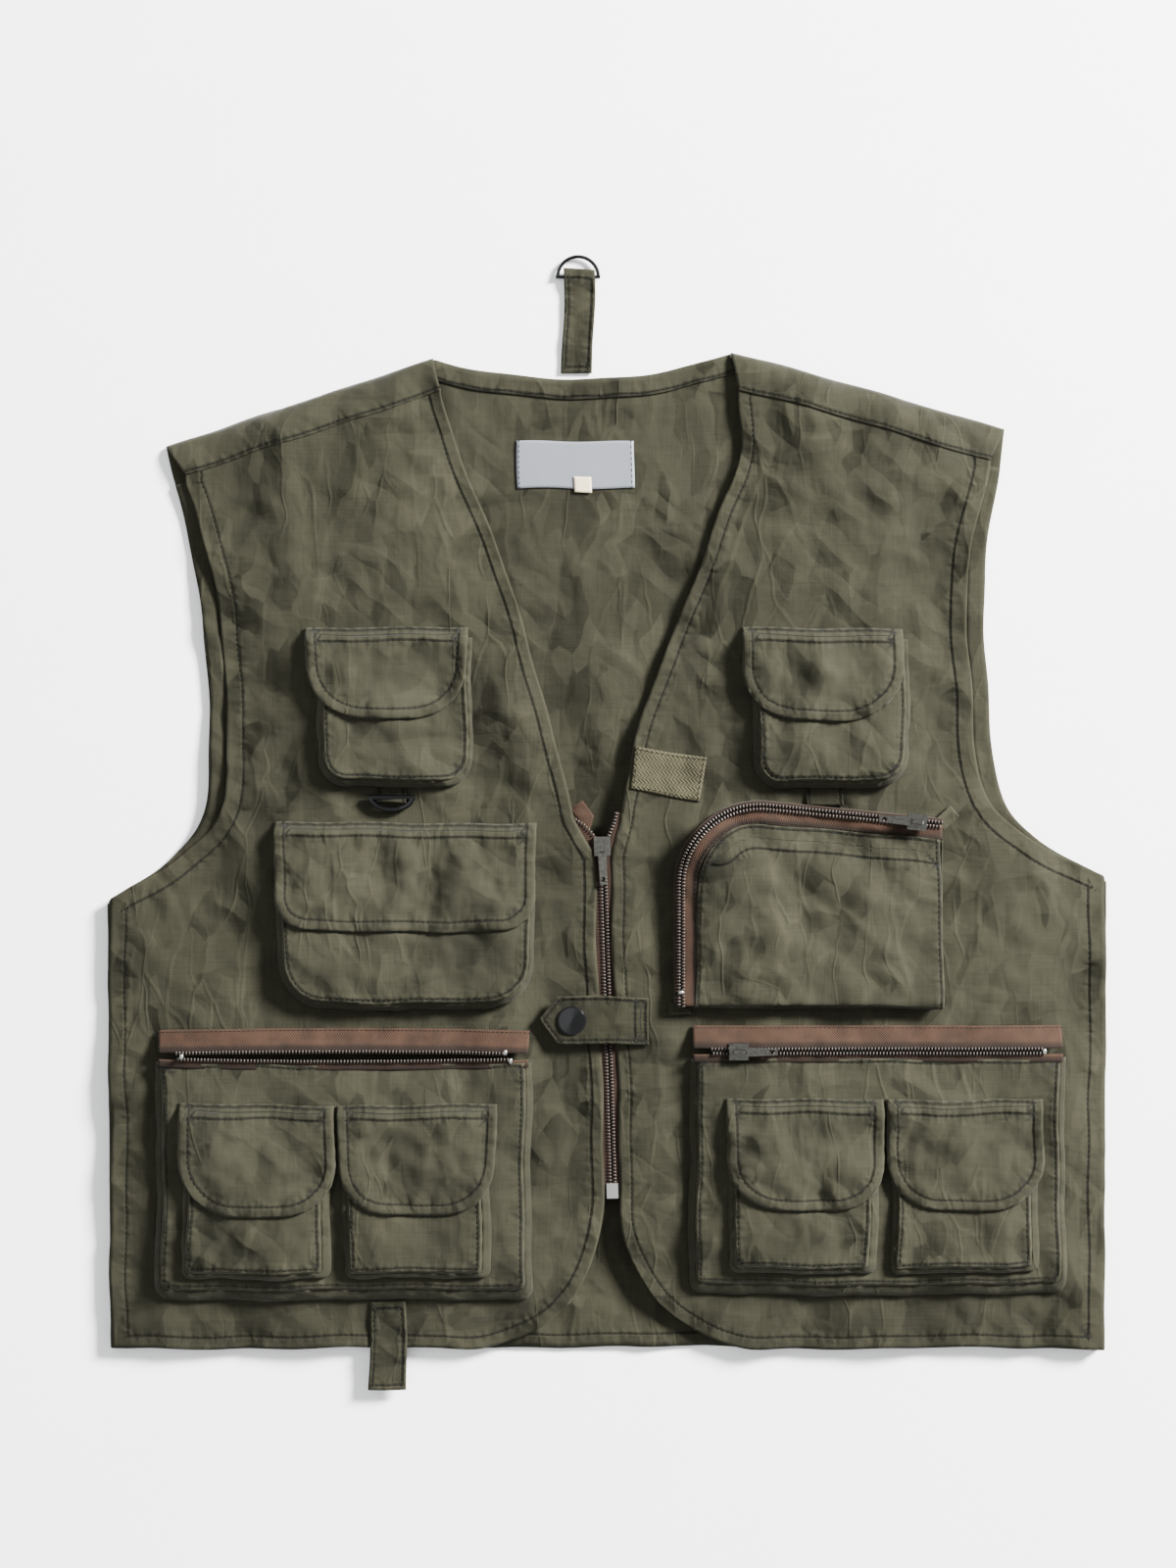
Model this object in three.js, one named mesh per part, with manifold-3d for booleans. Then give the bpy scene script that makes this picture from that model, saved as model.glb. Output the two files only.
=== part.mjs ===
// A fishing vest laid flat on its back: +Z up off the floor, +Y towards the collar, +X towards the
// wearer's left. Millimetres. The origin is on the floor, under the centre of the back at chest height.
// "right" and "left" in names are the wearer's.
import * as THREE from "three";
import { mergeVertices } from "three/addons/utils/BufferGeometryUtils.js";
import Module from "manifold-3d";

const wasm = await Module();
wasm.setup();

// ---- Cloth and clearances ----
const cloth = 1.0; // one thickness of shell cloth with its turned edge
const facingCloth = 0.6; // one thickness of facing or zip tape
const gap = 0.3; // air between two pieces that are sewn or laid together
const cavity = 10; // air between the back and the fronts as the vest lies

// ---- Overall sizes of the garment ----
const chestHalf = 287.5; // half the width at the armpits
const hemHalf = 286;
const bodyLength = 573; // from the neck point to the hem
const neckY = 313.3; // neck point above the chest line
const neckHalf = 85.5;
const backNeckDip = 14;
const shoulderHalf = 242.5;
const shoulderY = 265;
const armholeY = 5.5; // bottom of the armhole
const armholeDeep = 225; // half width across the back at mid armhole
const armholeDeepY = 115;
const frontArmholeInset = 10; // the fronts are cut this much deeper there
const yokeDepth = 21; // how far the back comes over the shoulder
const hemCornerRadius = 80;
const facingWidth = 12;

// ---- How the vest lies: the shoulders are drawn a little to the wearer's right ----
const laySkew = 0.048;
const layTilt = 0.0225;

// ---- Heights of the layers ----
const backTop = cloth;
const frontBottom = backTop + cavity;
const frontTop = frontBottom + cloth;
const onFront = frontTop + gap; // where a piece sewn on a front starts
const frontFacingBottom = frontBottom - gap - facingCloth;
const hemY = neckY - bodyLength;

// ---- Main zip ----
const zipLean = THREE.MathUtils.degToRad(1.7);
const zipBottomY = hemY + 87;
const zipTopY = 33.3; // top of the straight, closed stretch
const zipLength = zipTopY - zipBottomY;
const coilWidth = 2.4; // one half of the coil
const zipSlot = 1.6; // between the two halves, where the slider's post runs
const tapeWidth = 12;
const plate = 1.0; // slider plate
const plateGap = 0.4; // between plate and coil

// ---- Zip sliders and pulls ----
const sliderLength = 11;
const sliderWidth = 9.4;
const postWidth = 1.2;
const postLength = 3;
const bailHalf = 3.5; // along the zip
const bailRise = 2.4;
const bailWire = 0.8;
const bailWidth = 2;
const pullThickness = 1.0;
const pullWidth = 5;
const pullLength = 22;

// ---- Pockets, from the hem up ----
const flapRise = 6; // from a flap's seam down to the pocket's mouth
// A patch pocket lies nearly flat at its mouth and fills out towards its foot.
const smallPocket = { width: 82, height: 92, mouth: 5.5, depth: 7, radius: 6 };
const smallFlap = { width: 90, length: 63, radius: 30 };
const smallShift = { right: -3, left: 3.7 }; // of the pair of small pockets, from the bag's middle
const smallPitch = smallFlap.width + 2;
const smallFlapDrop = 42; // from the top of the cargo pocket to the small flaps' seam
const cargoBorder = 15; // beside and under the small pockets
const cargo = {
  width: 2 * smallPitch + 2 * cargoBorder,
  height: smallFlapDrop + flapRise + smallPocket.height + cargoBorder,
  depth: 7.7,
  zipHeight: 26,
  zipDrop: 15,
  radius: 5,
};
const cargoHemMargin = { right: 29.2, left: 32.2 };
const cargoCentreMargin = { right: 44.5, left: 48 };
const cargoTop = {
  right: hemY + cargoHemMargin.right + cargo.height,
  left: hemY + cargoHemMargin.left + cargo.height,
};

const utilityPocket = { width: 145, height: 100, mouth: 6, depth: 12, radius: 24 };
const utilityFlap = { width: 149, length: 62, radius: 20 };
// The middle of the utility flap's seam.
const utilityAt = [-116, cargoTop.right + 13 + utilityPocket.height + flapRise];
const zipPocket = { width: 150, height: 115, depth: 12, radius: 45, slope: 5.5, bandIn: 9, bandOut: 3 };
const zipPocketAt = [42, cargoTop.left + 9.8]; // lower inner corner

const chestPocket = { width: 86, height: 85, mouth: 6, depth: 11, radius: 14 };
const chestFlap = { width: 93, length: 53, radius: 34 };
const chestFlapShift = { right: -4, left: -5 };
const ringRoom = 21; // between the utility flap's seam and the chest pocket, for the ring and its loop
const bareLoop = { width: 21, length: 11 };
const chestFoot = {
  right: utilityAt[1] + ringRoom,
  left: zipPocketAt[1] + zipPocket.height + bareLoop.length + 1.2,
};
const chestX = { right: -122.5, left: 128 };
const chestSeam = (side) => chestFoot[side] + chestPocket.height + flapRise;

const snapAt = [-20.5, -70];

// ---- Rings, loops and straps ----
const strapThickness = 1.4; // two thicknesses of pressed cloth
const strapWidth = 20.5;
const eyeWall = 0.8;
const pinGap = 0.3;
const neckRing = { width: 25.7, height: 12.8, wire: 1.1 };
const chestRing = { width: 27, height: 8.5, wire: 1.6 };
const neckTabLength = 57.1;
const neckTabGap = strapThickness + 1; // lets the tab stand up clear of the collar's edge
const neckTabX = -17;
const chestLoop = { width: 17, length: 6.5 };
const hemTab = { x: -126, width: 22, length: 52, drop: 2 };
const waist = { width: 27, tip: -40, fold: 24, rampEnd: 12, pointLength: 12 };
const snap = { capRadius: 8.3, socketRadius: 6.5, hole: 2.6, stud: 2.2, base: 6 };
const patch = { x: 35, rise: 18.7, width: 41, height: 25, turn: -9 }; // rise is above the zip pocket's zip
const neckLabel = { x: -18, y: 250, width: 68, height: 28, thickness: 0.4 };
const sizeLabel = { width: 10, height: 9, shift: 4 };

// ---- Materials ----
const paint = (color, roughness, metalness = 0) =>
  new THREE.MeshStandardMaterial({ color, roughness, metalness });
const shellCloth = paint(0x5b5a44, 0.95);
const zipTape = paint(0x7a5546, 0.9);
const webbing = paint(0x8d8a6c, 0.95);
const blackMetal = paint(0x1b1b1d, 0.35, 0.8);
const gunmetal = paint(0x6a6a66, 0.4, 0.9);
const whiteSatin = paint(0xc9ccd6, 0.6);
const creamSatin = paint(0xe6dcc2, 0.6);

const vest = new THREE.Group();

function add(name, geometry, material, parent = vest) {
  const mesh = new THREE.Mesh(geometry, material);
  mesh.name = name;
  parent.add(mesh);
  return mesh;
}

// ---- Solids ----
function solid(geometry) {
  const plain = geometry.index ? geometry.toNonIndexed() : geometry.clone();
  plain.deleteAttribute("normal");
  plain.deleteAttribute("uv");
  const merged = mergeVertices(plain, 1e-4);
  const vertProperties = merged.attributes.position.array;
  const triVerts = new Uint32Array(merged.index.array);
  return new wasm.Manifold(new wasm.Mesh({ numProp: 3, vertProperties, triVerts }));
}

function geometryOf(body) {
  const { vertProperties, triVerts } = body.getMesh();
  const geometry = new THREE.BufferGeometry();
  geometry.setAttribute("position", new THREE.BufferAttribute(vertProperties, 3));
  geometry.setIndex(new THREE.BufferAttribute(triVerts, 1));
  geometry.computeVertexNormals();
  return geometry;
}

const vector = ([x, y]) => new THREE.Vector2(x, y);
const anticlockwise = (points) => {
  const list = points.map(vector);
  return THREE.ShapeUtils.isClockWise(list) ? list.reverse() : list;
};
const shapeOf = (points, holes = []) => {
  const shape = new THREE.Shape(anticlockwise(points));
  shape.holes = holes.map((hole) => new THREE.Path(anticlockwise(hole)));
  return shape;
};

// A flat outline raised from z0 to z1.
function prism(points, z0, z1, holes) {
  const options = { depth: z1 - z0, bevelEnabled: false };
  return new THREE.ExtrudeGeometry(shapeOf(points, holes), options).translate(0, 0, z0);
}

// A [y, z] profile carried along X from x0 to x1.
function profileAlongX(points, x0, x1, holes) {
  const toX = new THREE.Matrix4().makeBasis(
    new THREE.Vector3(0, 1, 0),
    new THREE.Vector3(0, 0, 1),
    new THREE.Vector3(1, 0, 0),
  );
  return prism(points, x0, x1, holes).applyMatrix4(toX);
}

// An [x, z] profile carried along Y from y0 to y1.
function profileAlongY(points, y0, y1) {
  const toY = new THREE.Matrix4().makeBasis(
    new THREE.Vector3(1, 0, 0),
    new THREE.Vector3(0, 0, 1),
    new THREE.Vector3(0, -1, 0),
  );
  return prism(points, -y1, -y0).applyMatrix4(toY);
}

const box = (x0, x1, y0, y1, z0, z1) =>
  new THREE.BoxGeometry(x1 - x0, y1 - y0, z1 - z0).translate((x0 + x1) / 2, (y0 + y1) / 2, (z0 + z1) / 2);

const joined = (...geometries) =>
  geometryOf(geometries.map(solid).reduce((all, piece) => all.add(piece)));

const cut = (from, ...tools) =>
  geometryOf(tools.map(solid).reduce((left, tool) => left.subtract(tool), solid(from)));

// ---- Outlines ----
// A smooth curve through points, as a list without its last point.
function spline(points, steps) {
  const path = new THREE.SplineCurve(points.map(vector));
  return path.getPoints(steps).slice(0, -1).map((p) => [p.x, p.y]);
}

function arc(cx, cy, radius, from, to, steps = 8) {
  return Array.from({ length: steps + 1 }, (_, i) => {
    const angle = THREE.MathUtils.degToRad(from + ((to - from) * i) / steps);
    return [cx + radius * Math.cos(angle), cy + radius * Math.sin(angle)];
  });
}

// A tongue that hangs from y = top, with square upper and round lower corners.
function tongue(x, top, width, length, radius) {
  const half = width / 2;
  const low = top - length;
  return [
    [x + half, top],
    [x - half, top],
    ...arc(x - half + radius, low + radius, radius, 180, 270),
    ...arc(x + half - radius, low + radius, radius, 270, 360),
  ];
}

const clampShare = (value) => Math.min(1, Math.max(0, value));

// Where a point of the flat pattern comes to lie.
function lay([x, y]) {
  const tilt = layTilt * clampShare((y - hemY) / -hemY);
  return [x - laySkew * Math.max(y, 0), y + tilt * x];
}

const SIDES = { right: -1, left: 1 };
const outward = (side, points) => points.map(([x, y]) => [SIDES[side] * x, y]);

// The armhole's edge from the shoulder tip down to the side seam, inset from the back's own cut.
const armhole = (inset) =>
  [
    [shoulderHalf - inset * 0.4, shoulderY],
    [armholeDeep + 3 - inset, armholeDeepY + 75],
    [armholeDeep - inset, armholeDeepY],
    [armholeDeep + 4 - inset, armholeDeepY / 2],
    [chestHalf - 38 - inset / 2, armholeY + 24],
    [chestHalf, armholeY],
  ];

// The front edge from the neck point down to where the zip starts, for each side.
const vNeck = {
  right: [
    [neckHalf, neckY],
    [73, 257],
    [46, 177],
    [26, 94],
    [18, 46],
  ],
  left: [
    [neckHalf, neckY],
    [89, 256],
    [71, 210],
    [31, 119],
    [14, 66],
    [8.5, 41],
  ],
};

// Half the space between the fronts' edges over the coil.
const frontEdgeHalf = coilWidth + zipSlot / 2 + 1.2;
// The zip's own line leans, so that it runs towards the right at its top.
const zipTopX = -3.114;
const zipMiddleX = (y) => zipTopX - Math.tan(zipLean) * (y - zipTopY);

// How far below the zip's top each V edge has come in to it.
const straightDrop = { right: 33.3, left: 3.3 };

// Edge of a front down the centre and round its lower corner to the hem, in place.
function frontEdge(side) {
  const s = SIDES[side];
  const straightTop = zipTopY - straightDrop[side];
  const neck = outward(side, vNeck[side]).map(lay);
  const straight = [
    [zipMiddleX(straightTop) + s * frontEdgeHalf, straightTop],
    [zipMiddleX(zipBottomY) + s * frontEdgeHalf, zipBottomY],
  ];
  const r = hemCornerRadius;
  const centreX = zipMiddleX(zipBottomY) + s * (frontEdgeHalf + r);
  const corner = arc(centreX, hemY + r, r, s < 0 ? 0 : 180, s < 0 ? -90 : 270, 10);
  return [...spline([...neck, straight[0]], 26), ...straight, ...corner];
}

// The yoke seam: the shoulder line moved down by yokeDepth.
const yokeSeam = (side) =>
  outward(side, [
    [shoulderHalf - frontArmholeInset * 0.4, shoulderY - yokeDepth],
    [neckHalf - 1, neckY - yokeDepth],
  ]).map(lay);

function frontOutline(side) {
  const [seamOuter, seamInner] = yokeSeam(side);
  const edge = frontEdge(side).filter(([, y]) => y < seamInner[1] - 1);
  const outerEdge = spline(outward(side, armhole(frontArmholeInset)).map(lay), 22);
  const belowSeam = outerEdge.filter(([, y]) => y < seamOuter[1] - 1);
  return [
    seamInner,
    ...edge,
    lay([SIDES[side] * hemHalf, hemY]),
    lay([SIDES[side] * chestHalf, armholeY]),
    ...belowSeam.reverse(),
    seamOuter,
  ];
}

function backOutline() {
  const down = (side) => spline(outward(side, armhole(0)).map(lay), 22);
  const neck = [
    [-neckHalf, neckY],
    [-neckHalf * 0.6, neckY - backNeckDip * 0.75],
    [0, neckY - backNeckDip],
    [neckHalf * 0.6, neckY - backNeckDip * 0.75],
    [neckHalf, neckY],
  ].map(lay);
  const hemCorner = (side) => lay([SIDES[side] * hemHalf, hemY]);
  const armpit = (side) => lay([SIDES[side] * chestHalf, armholeY]);
  return [
    ...spline(neck, 14),
    neck.at(-1),
    ...down("left"),
    armpit("left"),
    hemCorner("left"),
    hemCorner("right"),
    armpit("right"),
    ...down("right").reverse(),
  ];
}

// ---- The shell: back, fronts, yokes, side seams and facings ----
add("back_panel", prism(backOutline(), 0, backTop), shellCloth);

// A strip along an edge list, set in by `inset` and `width` wide, to one side of it.
function strip(edge, inset, width, towards, z0, z1) {
  const normals = edge.map((_, i) => {
    const [ax, ay] = edge[Math.max(0, i - 1)];
    const [bx, by] = edge[Math.min(edge.length - 1, i + 1)];
    const length = Math.hypot(bx - ax, by - ay);
    return [(-towards * (by - ay)) / length, (towards * (bx - ax)) / length];
  });
  const moved = (distance) =>
    edge.map(([x, y], i) => [x + normals[i][0] * distance, y + normals[i][1] * distance]);
  return prism([...moved(inset), ...moved(inset + width).reverse()], z0, z1);
}

const facingInset = 0.5;
const backFacingBottom = backTop + gap;
const backFacingTop = backFacingBottom + facingCloth;
// The neck facing turns up at the yokes, so it stops short of both neck points.
const neckFacingEdge = spline(
  [-0.86, -0.55, 0, 0.55, 0.86]
    .map((share) => [share * neckHalf, neckY - backNeckDip * (1 - share * share)])
    .map(lay),
  14,
);
add(
  "back_neck_facing",
  strip(neckFacingEdge, facingInset, facingWidth, -1, backFacingBottom, backFacingTop),
  shellCloth,
);

const yokeWall = 1.0;
const seamAir = 0.35; // between the yoke and the front, measured along Y
for (const side of Object.keys(SIDES)) {
  const s = SIDES[side];
  const [seamOuter, seamInner] = yokeSeam(side);
  const tip = lay([s * shoulderHalf, shoulderY]);
  const neckPoint = lay([s * neckHalf, neckY]);
  // The yoke comes over the shoulder fold: a wall up from the back, then forward to the seam.
  const lower = ([x, y], by) => [x, y - by];
  const topPlan = [tip, neckPoint, lower(seamInner, -seamAir), lower(seamOuter, -seamAir)];
  const top = prism(topPlan, frontBottom, frontTop);
  const fold = [tip, neckPoint, lower(neckPoint, yokeWall), lower(tip, yokeWall)];
  add(`shoulder_yoke_${side}`, joined(top, prism(fold, backTop + gap, frontTop)), shellCloth);

  // The side seam is a roll of seam allowance between the back and the front, from armpit to hem.
  const armpit = lay([s * chestHalf, armholeY]);
  const corner = lay([s * hemHalf, hemY]);
  const seamWidth = 3;
  const seamTop = frontBottom - 0.5;
  const sideSeam = prism(
    [armpit, [armpit[0] - s * seamWidth, armpit[1]], [corner[0] - s * seamWidth, corner[1]], corner],
    backTop + gap,
    seamTop,
  );
  add(`side_seam_${side}`, sideSeam, shellCloth);

  const armEdge = spline(outward(side, armhole(0)).map(lay), 22).slice(3, -3);
  add(
    `armhole_facing_${side}`,
    strip(armEdge, facingInset, facingWidth, -s, backFacingBottom, backFacingTop),
    shellCloth,
  );

  add(`front_panel_${side}`, prism(frontOutline(side), frontBottom, frontTop), shellCloth);
  const frontFacingEdge = frontEdge(side).filter(([, y]) => y < seamInner[1] - 6);
  add(
    `front_facing_${side}`,
    strip(frontFacingEdge, facingInset, facingWidth, s, frontFacingBottom, frontFacingBottom + facingCloth),
    shellCloth,
  );
}

// ---- Labels inside the back ----
const labelBottom = backTop + gap;
const labelTop = labelBottom + neckLabel.thickness;
const { x: labelX, y: labelY } = neckLabel;
add(
  "neck_label",
  box(
    labelX - neckLabel.width / 2,
    labelX + neckLabel.width / 2,
    labelY - neckLabel.height / 2,
    labelY + neckLabel.height / 2,
    labelBottom,
    labelTop,
  ),
  whiteSatin,
);
const sizeX = labelX + sizeLabel.shift;
const sizeY = labelY - neckLabel.height / 2 + sizeLabel.height / 3;
add(
  "size_label",
  box(
    sizeX - sizeLabel.width / 2,
    sizeX + sizeLabel.width / 2,
    sizeY - sizeLabel.height / 2,
    sizeY + sizeLabel.height / 2,
    labelTop + gap,
    labelTop + gap + neckLabel.thickness,
  ),
  creamSatin,
);

// ---- D-rings, and the cloth loops that hold them ----
const SEGMENTS = 10;
function dRing({ width, height, wire }) {
  const rx = width / 2 - wire;
  const ry = height - wire;
  const bow = new THREE.CatmullRomCurve3(
    arc(0, 0, 1, 0, -180, 12).map(([x, y]) => new THREE.Vector3(x * rx, y * ry, 0)),
  );
  const section = new THREE.Shape(arc(0, 0, wire, 0, 360 - 360 / SEGMENTS, SEGMENTS - 1).map(vector));
  const wireBow = new THREE.ExtrudeGeometry(section, { steps: 24, extrudePath: bow });
  const bar = new THREE.CylinderGeometry(wire, wire, width, SEGMENTS).rotateZ(Math.PI / 2);
  return joined(wireBow, bar);
}

// A strap of pressed cloth with an eye at its end, lying on z = 0. The eye's middle is at y = 0 and the
// strap runs from it along +Y or -Y.
function eyeStrap(width, length, pin, direction) {
  const inner = pin + pinGap;
  const outer = inner + eyeWall;
  const middle = outer;
  const meet = THREE.MathUtils.radToDeg(Math.asin((middle - strapThickness) / outer));
  const profile = [[length, 0], [length, strapThickness], ...arc(0, middle, outer, -meet, 270, 16)];
  const hole = arc(0, middle, inner, 0, 330, 11);
  const facing = (points) => points.map(([y, z]) => [y * direction, z]);
  return { geometry: profileAlongX(facing(profile), -width / 2, width / 2, [facing(hole)]), middle };
}

function place(mesh, x, y, z, turn = 0) {
  mesh.position.set(x, y, z);
  mesh.rotation.z = turn;
  return mesh;
}

const neckEdgeY = (x) => {
  const share = (x + laySkew * neckY) / neckHalf;
  return neckY - backNeckDip * (1 - share * share) + layTilt * x;
};
const neckTabStart = neckEdgeY(neckTabX) + neckTabGap;
const neckEyeY = neckTabStart + neckTabLength;
const neckEye = eyeStrap(strapWidth, neckTabLength, neckRing.wire, -1);
place(add("neck_tab", neckEye.geometry, shellCloth), neckTabX, neckEyeY, 0);
place(add("neck_ring", dRing(neckRing), blackMetal), neckTabX, neckEyeY, neckEye.middle, Math.PI);

const chestEye = eyeStrap(chestLoop.width, chestLoop.length, chestRing.wire, 1);
const chestLoopX = chestX.right - 1.5;
const chestEyeY = chestFoot.right - gap - chestLoop.length;
place(add("chest_loop_right", chestEye.geometry, shellCloth), chestLoopX, chestEyeY, onFront);
place(add("chest_ring", dRing(chestRing), blackMetal), chestLoopX, chestEyeY, onFront + chestEye.middle);

// The other loop has lost its ring, and lies flat.
const loopX = chestX.left - 2.5;
const loopTop = chestFoot.left - gap;
add(
  "chest_loop_left",
  box(
    loopX - bareLoop.width / 2,
    loopX + bareLoop.width / 2,
    loopTop - bareLoop.length,
    loopTop,
    onFront,
    onFront + strapThickness,
  ),
  shellCloth,
);

// ---- Patch pockets with a flap ----
// Height of a pocket's face above the cloth it is sewn on, `down` below its mouth.
const faceHeight = ({ mouth, depth, height }, down) => mouth + ((depth - mouth) * down) / height;

// A [y, z] profile carried across an outline, keeping what is common to both.
function shaped(profile, outline) {
  const xs = outline.map(([x]) => x);
  const across = profileAlongX(profile, Math.min(...xs) - 1, Math.max(...xs) + 1);
  return solid(across).intersect(solid(prism(outline, 0, 60)));
}

// A tray: a face and three walls, open at its mouth and to the cloth it is sewn on.
function tray(x, mouthY, pocket, z) {
  const { width, height, radius } = pocket;
  const wedge = (over, below, drop) => [
    [mouthY + over, z - below],
    [mouthY + over, z + faceHeight(pocket, -over) - drop],
    [mouthY - height - 1, z + faceHeight(pocket, height + 1) - drop],
    [mouthY - height - 1, z - below],
  ];
  const inside = tongue(x, mouthY + 1, width - 2 * cloth, height + 1 - cloth, Math.max(1, radius - cloth));
  const outer = shaped(wedge(0, 0, 0), tongue(x, mouthY, width, height, radius));
  return geometryOf(outer.subtract(shaped(wedge(1, 1, cloth), inside)));
}

// A flap: it climbs from its seam to the pocket's face and lies over it.
function flap(x, seamY, { width, length, radius }, pocket, z) {
  const mouthY = seamY - flapRise;
  const low = seamY - length - 1;
  const under = (y) => z + faceHeight(pocket, mouthY - y) + gap;
  const side = [
    [seamY - 0.5, z + 0.2],
    [seamY - 0.5, z + 0.2 + cloth],
    [mouthY + 1.2, under(mouthY + 1.2) + cloth],
    [low, under(low) + cloth],
    [low, under(low)],
    [mouthY + 0.4, under(mouthY + 0.4)],
    [seamY - 1.8, z + 0.2],
  ];
  return geometryOf(shaped(side, tongue(x, seamY, width, length, radius)));
}

for (const side of Object.keys(SIDES)) {
  const x = chestX[side];
  const seamY = chestSeam(side);
  add(`chest_pocket_${side}`, tray(x, seamY - flapRise, chestPocket, onFront), shellCloth);
  const flapX = x + chestFlapShift[side];
  add(`chest_flap_${side}`, flap(flapX, seamY, chestFlap, chestPocket, onFront), shellCloth);
}
const [utilityX, utilityY] = utilityAt;
add("utility_pocket", tray(utilityX, utilityY - flapRise, utilityPocket, onFront), shellCloth);
add("utility_flap", flap(utilityX, utilityY, utilityFlap, utilityPocket, onFront), shellCloth);

// ---- Zip sliders ----
// The slider's middle is at the origin, the zip runs along Y, and z = 0 is the top of the coil.
function slider(coil) {
  const top = plateGap;
  const low = -coil - plateGap;
  const half = sliderWidth / 2;
  const plates = [
    box(-half, half, -sliderLength / 2, sliderLength / 2, top, top + plate),
    box(-half, half, -sliderLength / 2, sliderLength / 2, low - plate, low),
    box(
      -postWidth / 2,
      postWidth / 2,
      sliderLength / 2 - postLength,
      sliderLength / 2,
      low - plate / 2,
      top + plate / 2,
    ),
  ];
  const seat = top + plate;
  const arch = [
    [-bailHalf, seat - plate / 2],
    [-bailHalf, seat + bailRise - bailWire],
    [-bailHalf + bailWire, seat + bailRise],
    [bailHalf - bailWire, seat + bailRise],
    [bailHalf, seat + bailRise - bailWire],
    [bailHalf, seat - plate / 2],
  ];
  const hollow = [
    [-bailHalf + bailWire, seat],
    [-bailHalf + bailWire, seat + bailRise - bailWire],
    [bailHalf - bailWire, seat + bailRise - bailWire],
    [bailHalf - bailWire, seat],
  ];
  const bail = cut(
    profileAlongX(arch, -bailWidth / 2, bailWidth / 2),
    profileAlongX(hollow, -bailWidth, bailWidth),
  );
  return joined(...plates, bail);
}

// The pull hangs from the bail along -Y; its cross bar is at the origin.
const pullAxisRise = plateGap + plate + 0.25 + pullThickness / 2;
function pull() {
  const half = pullWidth / 2;
  const bar = pullThickness / 2;
  const window = bailHalf + 0.9;
  const slotHalf = bailWidth / 2 + 0.4;
  const outline = [
    [-half, bar],
    [-half, -window - 2],
    [-half + 0.7, -pullLength],
    [half - 0.7, -pullLength],
    [half, -window - 2],
    [half, bar],
  ];
  const bailSlot = [
    [-slotHalf, -bar],
    [-slotHalf, -window],
    [slotHalf, -window],
    [slotHalf, -bar],
  ];
  const endSlot = [
    [-1.1, -pullLength + 4.5],
    [-1.1, -pullLength + 1.6],
    [1.1, -pullLength + 1.6],
    [1.1, -pullLength + 4.5],
  ];
  return prism(outline, -pullThickness / 2, pullThickness / 2, [bailSlot, endSlot]);
}

// ---- Main zip, in a group that leans with the fronts' edges ----
const zip = new THREE.Group();
zip.position.set(zipMiddleX(zipBottomY), zipBottomY, 0);
zip.rotation.z = zipLean;
vest.add(zip);
const coilTop = frontTop - 0.1;
const tapeBottom = frontFacingBottom - gap - facingCloth;
const openTop = { right: { out: 13, up: 19 }, left: { out: 4.5, up: 22 } }; // how the free ends part
const boxLength = 9;
const boxHalf = 3.3;
for (const side of Object.keys(SIDES)) {
  const s = SIDES[side];
  const { out, up } = openTop[side];
  const inner = (s * zipSlot) / 2;
  const outer = inner + s * coilWidth;
  const free = [outer + s * out, zipLength + up];
  const coil = prism(
    [
      [inner, boxLength],
      [inner, zipLength],
      [free[0] - s * coilWidth, free[1]],
      free,
      [outer, zipLength],
      [outer, boxLength],
    ],
    tapeBottom,
    coilTop,
  );
  const tapeEdge = outer + s * (tapeWidth - coilWidth);
  const beside = s * (boxHalf + gap);
  const tape = prism(
    [
      [outer - s * 1, boxLength],
      [outer - s * 1, zipLength],
      [free[0] - s * 1, free[1]],
      [free[0] + s * (tapeWidth - coilWidth), free[1]],
      [tapeEdge, zipLength - 6],
      [tapeEdge, 0],
      [beside, 0],
      [beside, boxLength],
    ],
    tapeBottom,
    tapeBottom + facingCloth,
  );
  add(`main_zip_${side}`, joined(coil, tape), zipTape, zip);
}
// The retainer box at the foot of the zip.
add("main_zip_box", box(-boxHalf, boxHalf, 0, boxLength - gap, tapeBottom - 0.4, coilTop), gunmetal, zip);
const mainSlider = add("main_zip_slider", slider(coilTop - tapeBottom), gunmetal, zip);
place(mainSlider, 0, zipLength - sliderLength / 2 + 2, coilTop);
const mainPull = add("main_zip_pull", pull(), gunmetal, zip);
place(mainPull, 0, zipLength - sliderLength / 2 + 2, coilTop + pullAxisRise);

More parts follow.
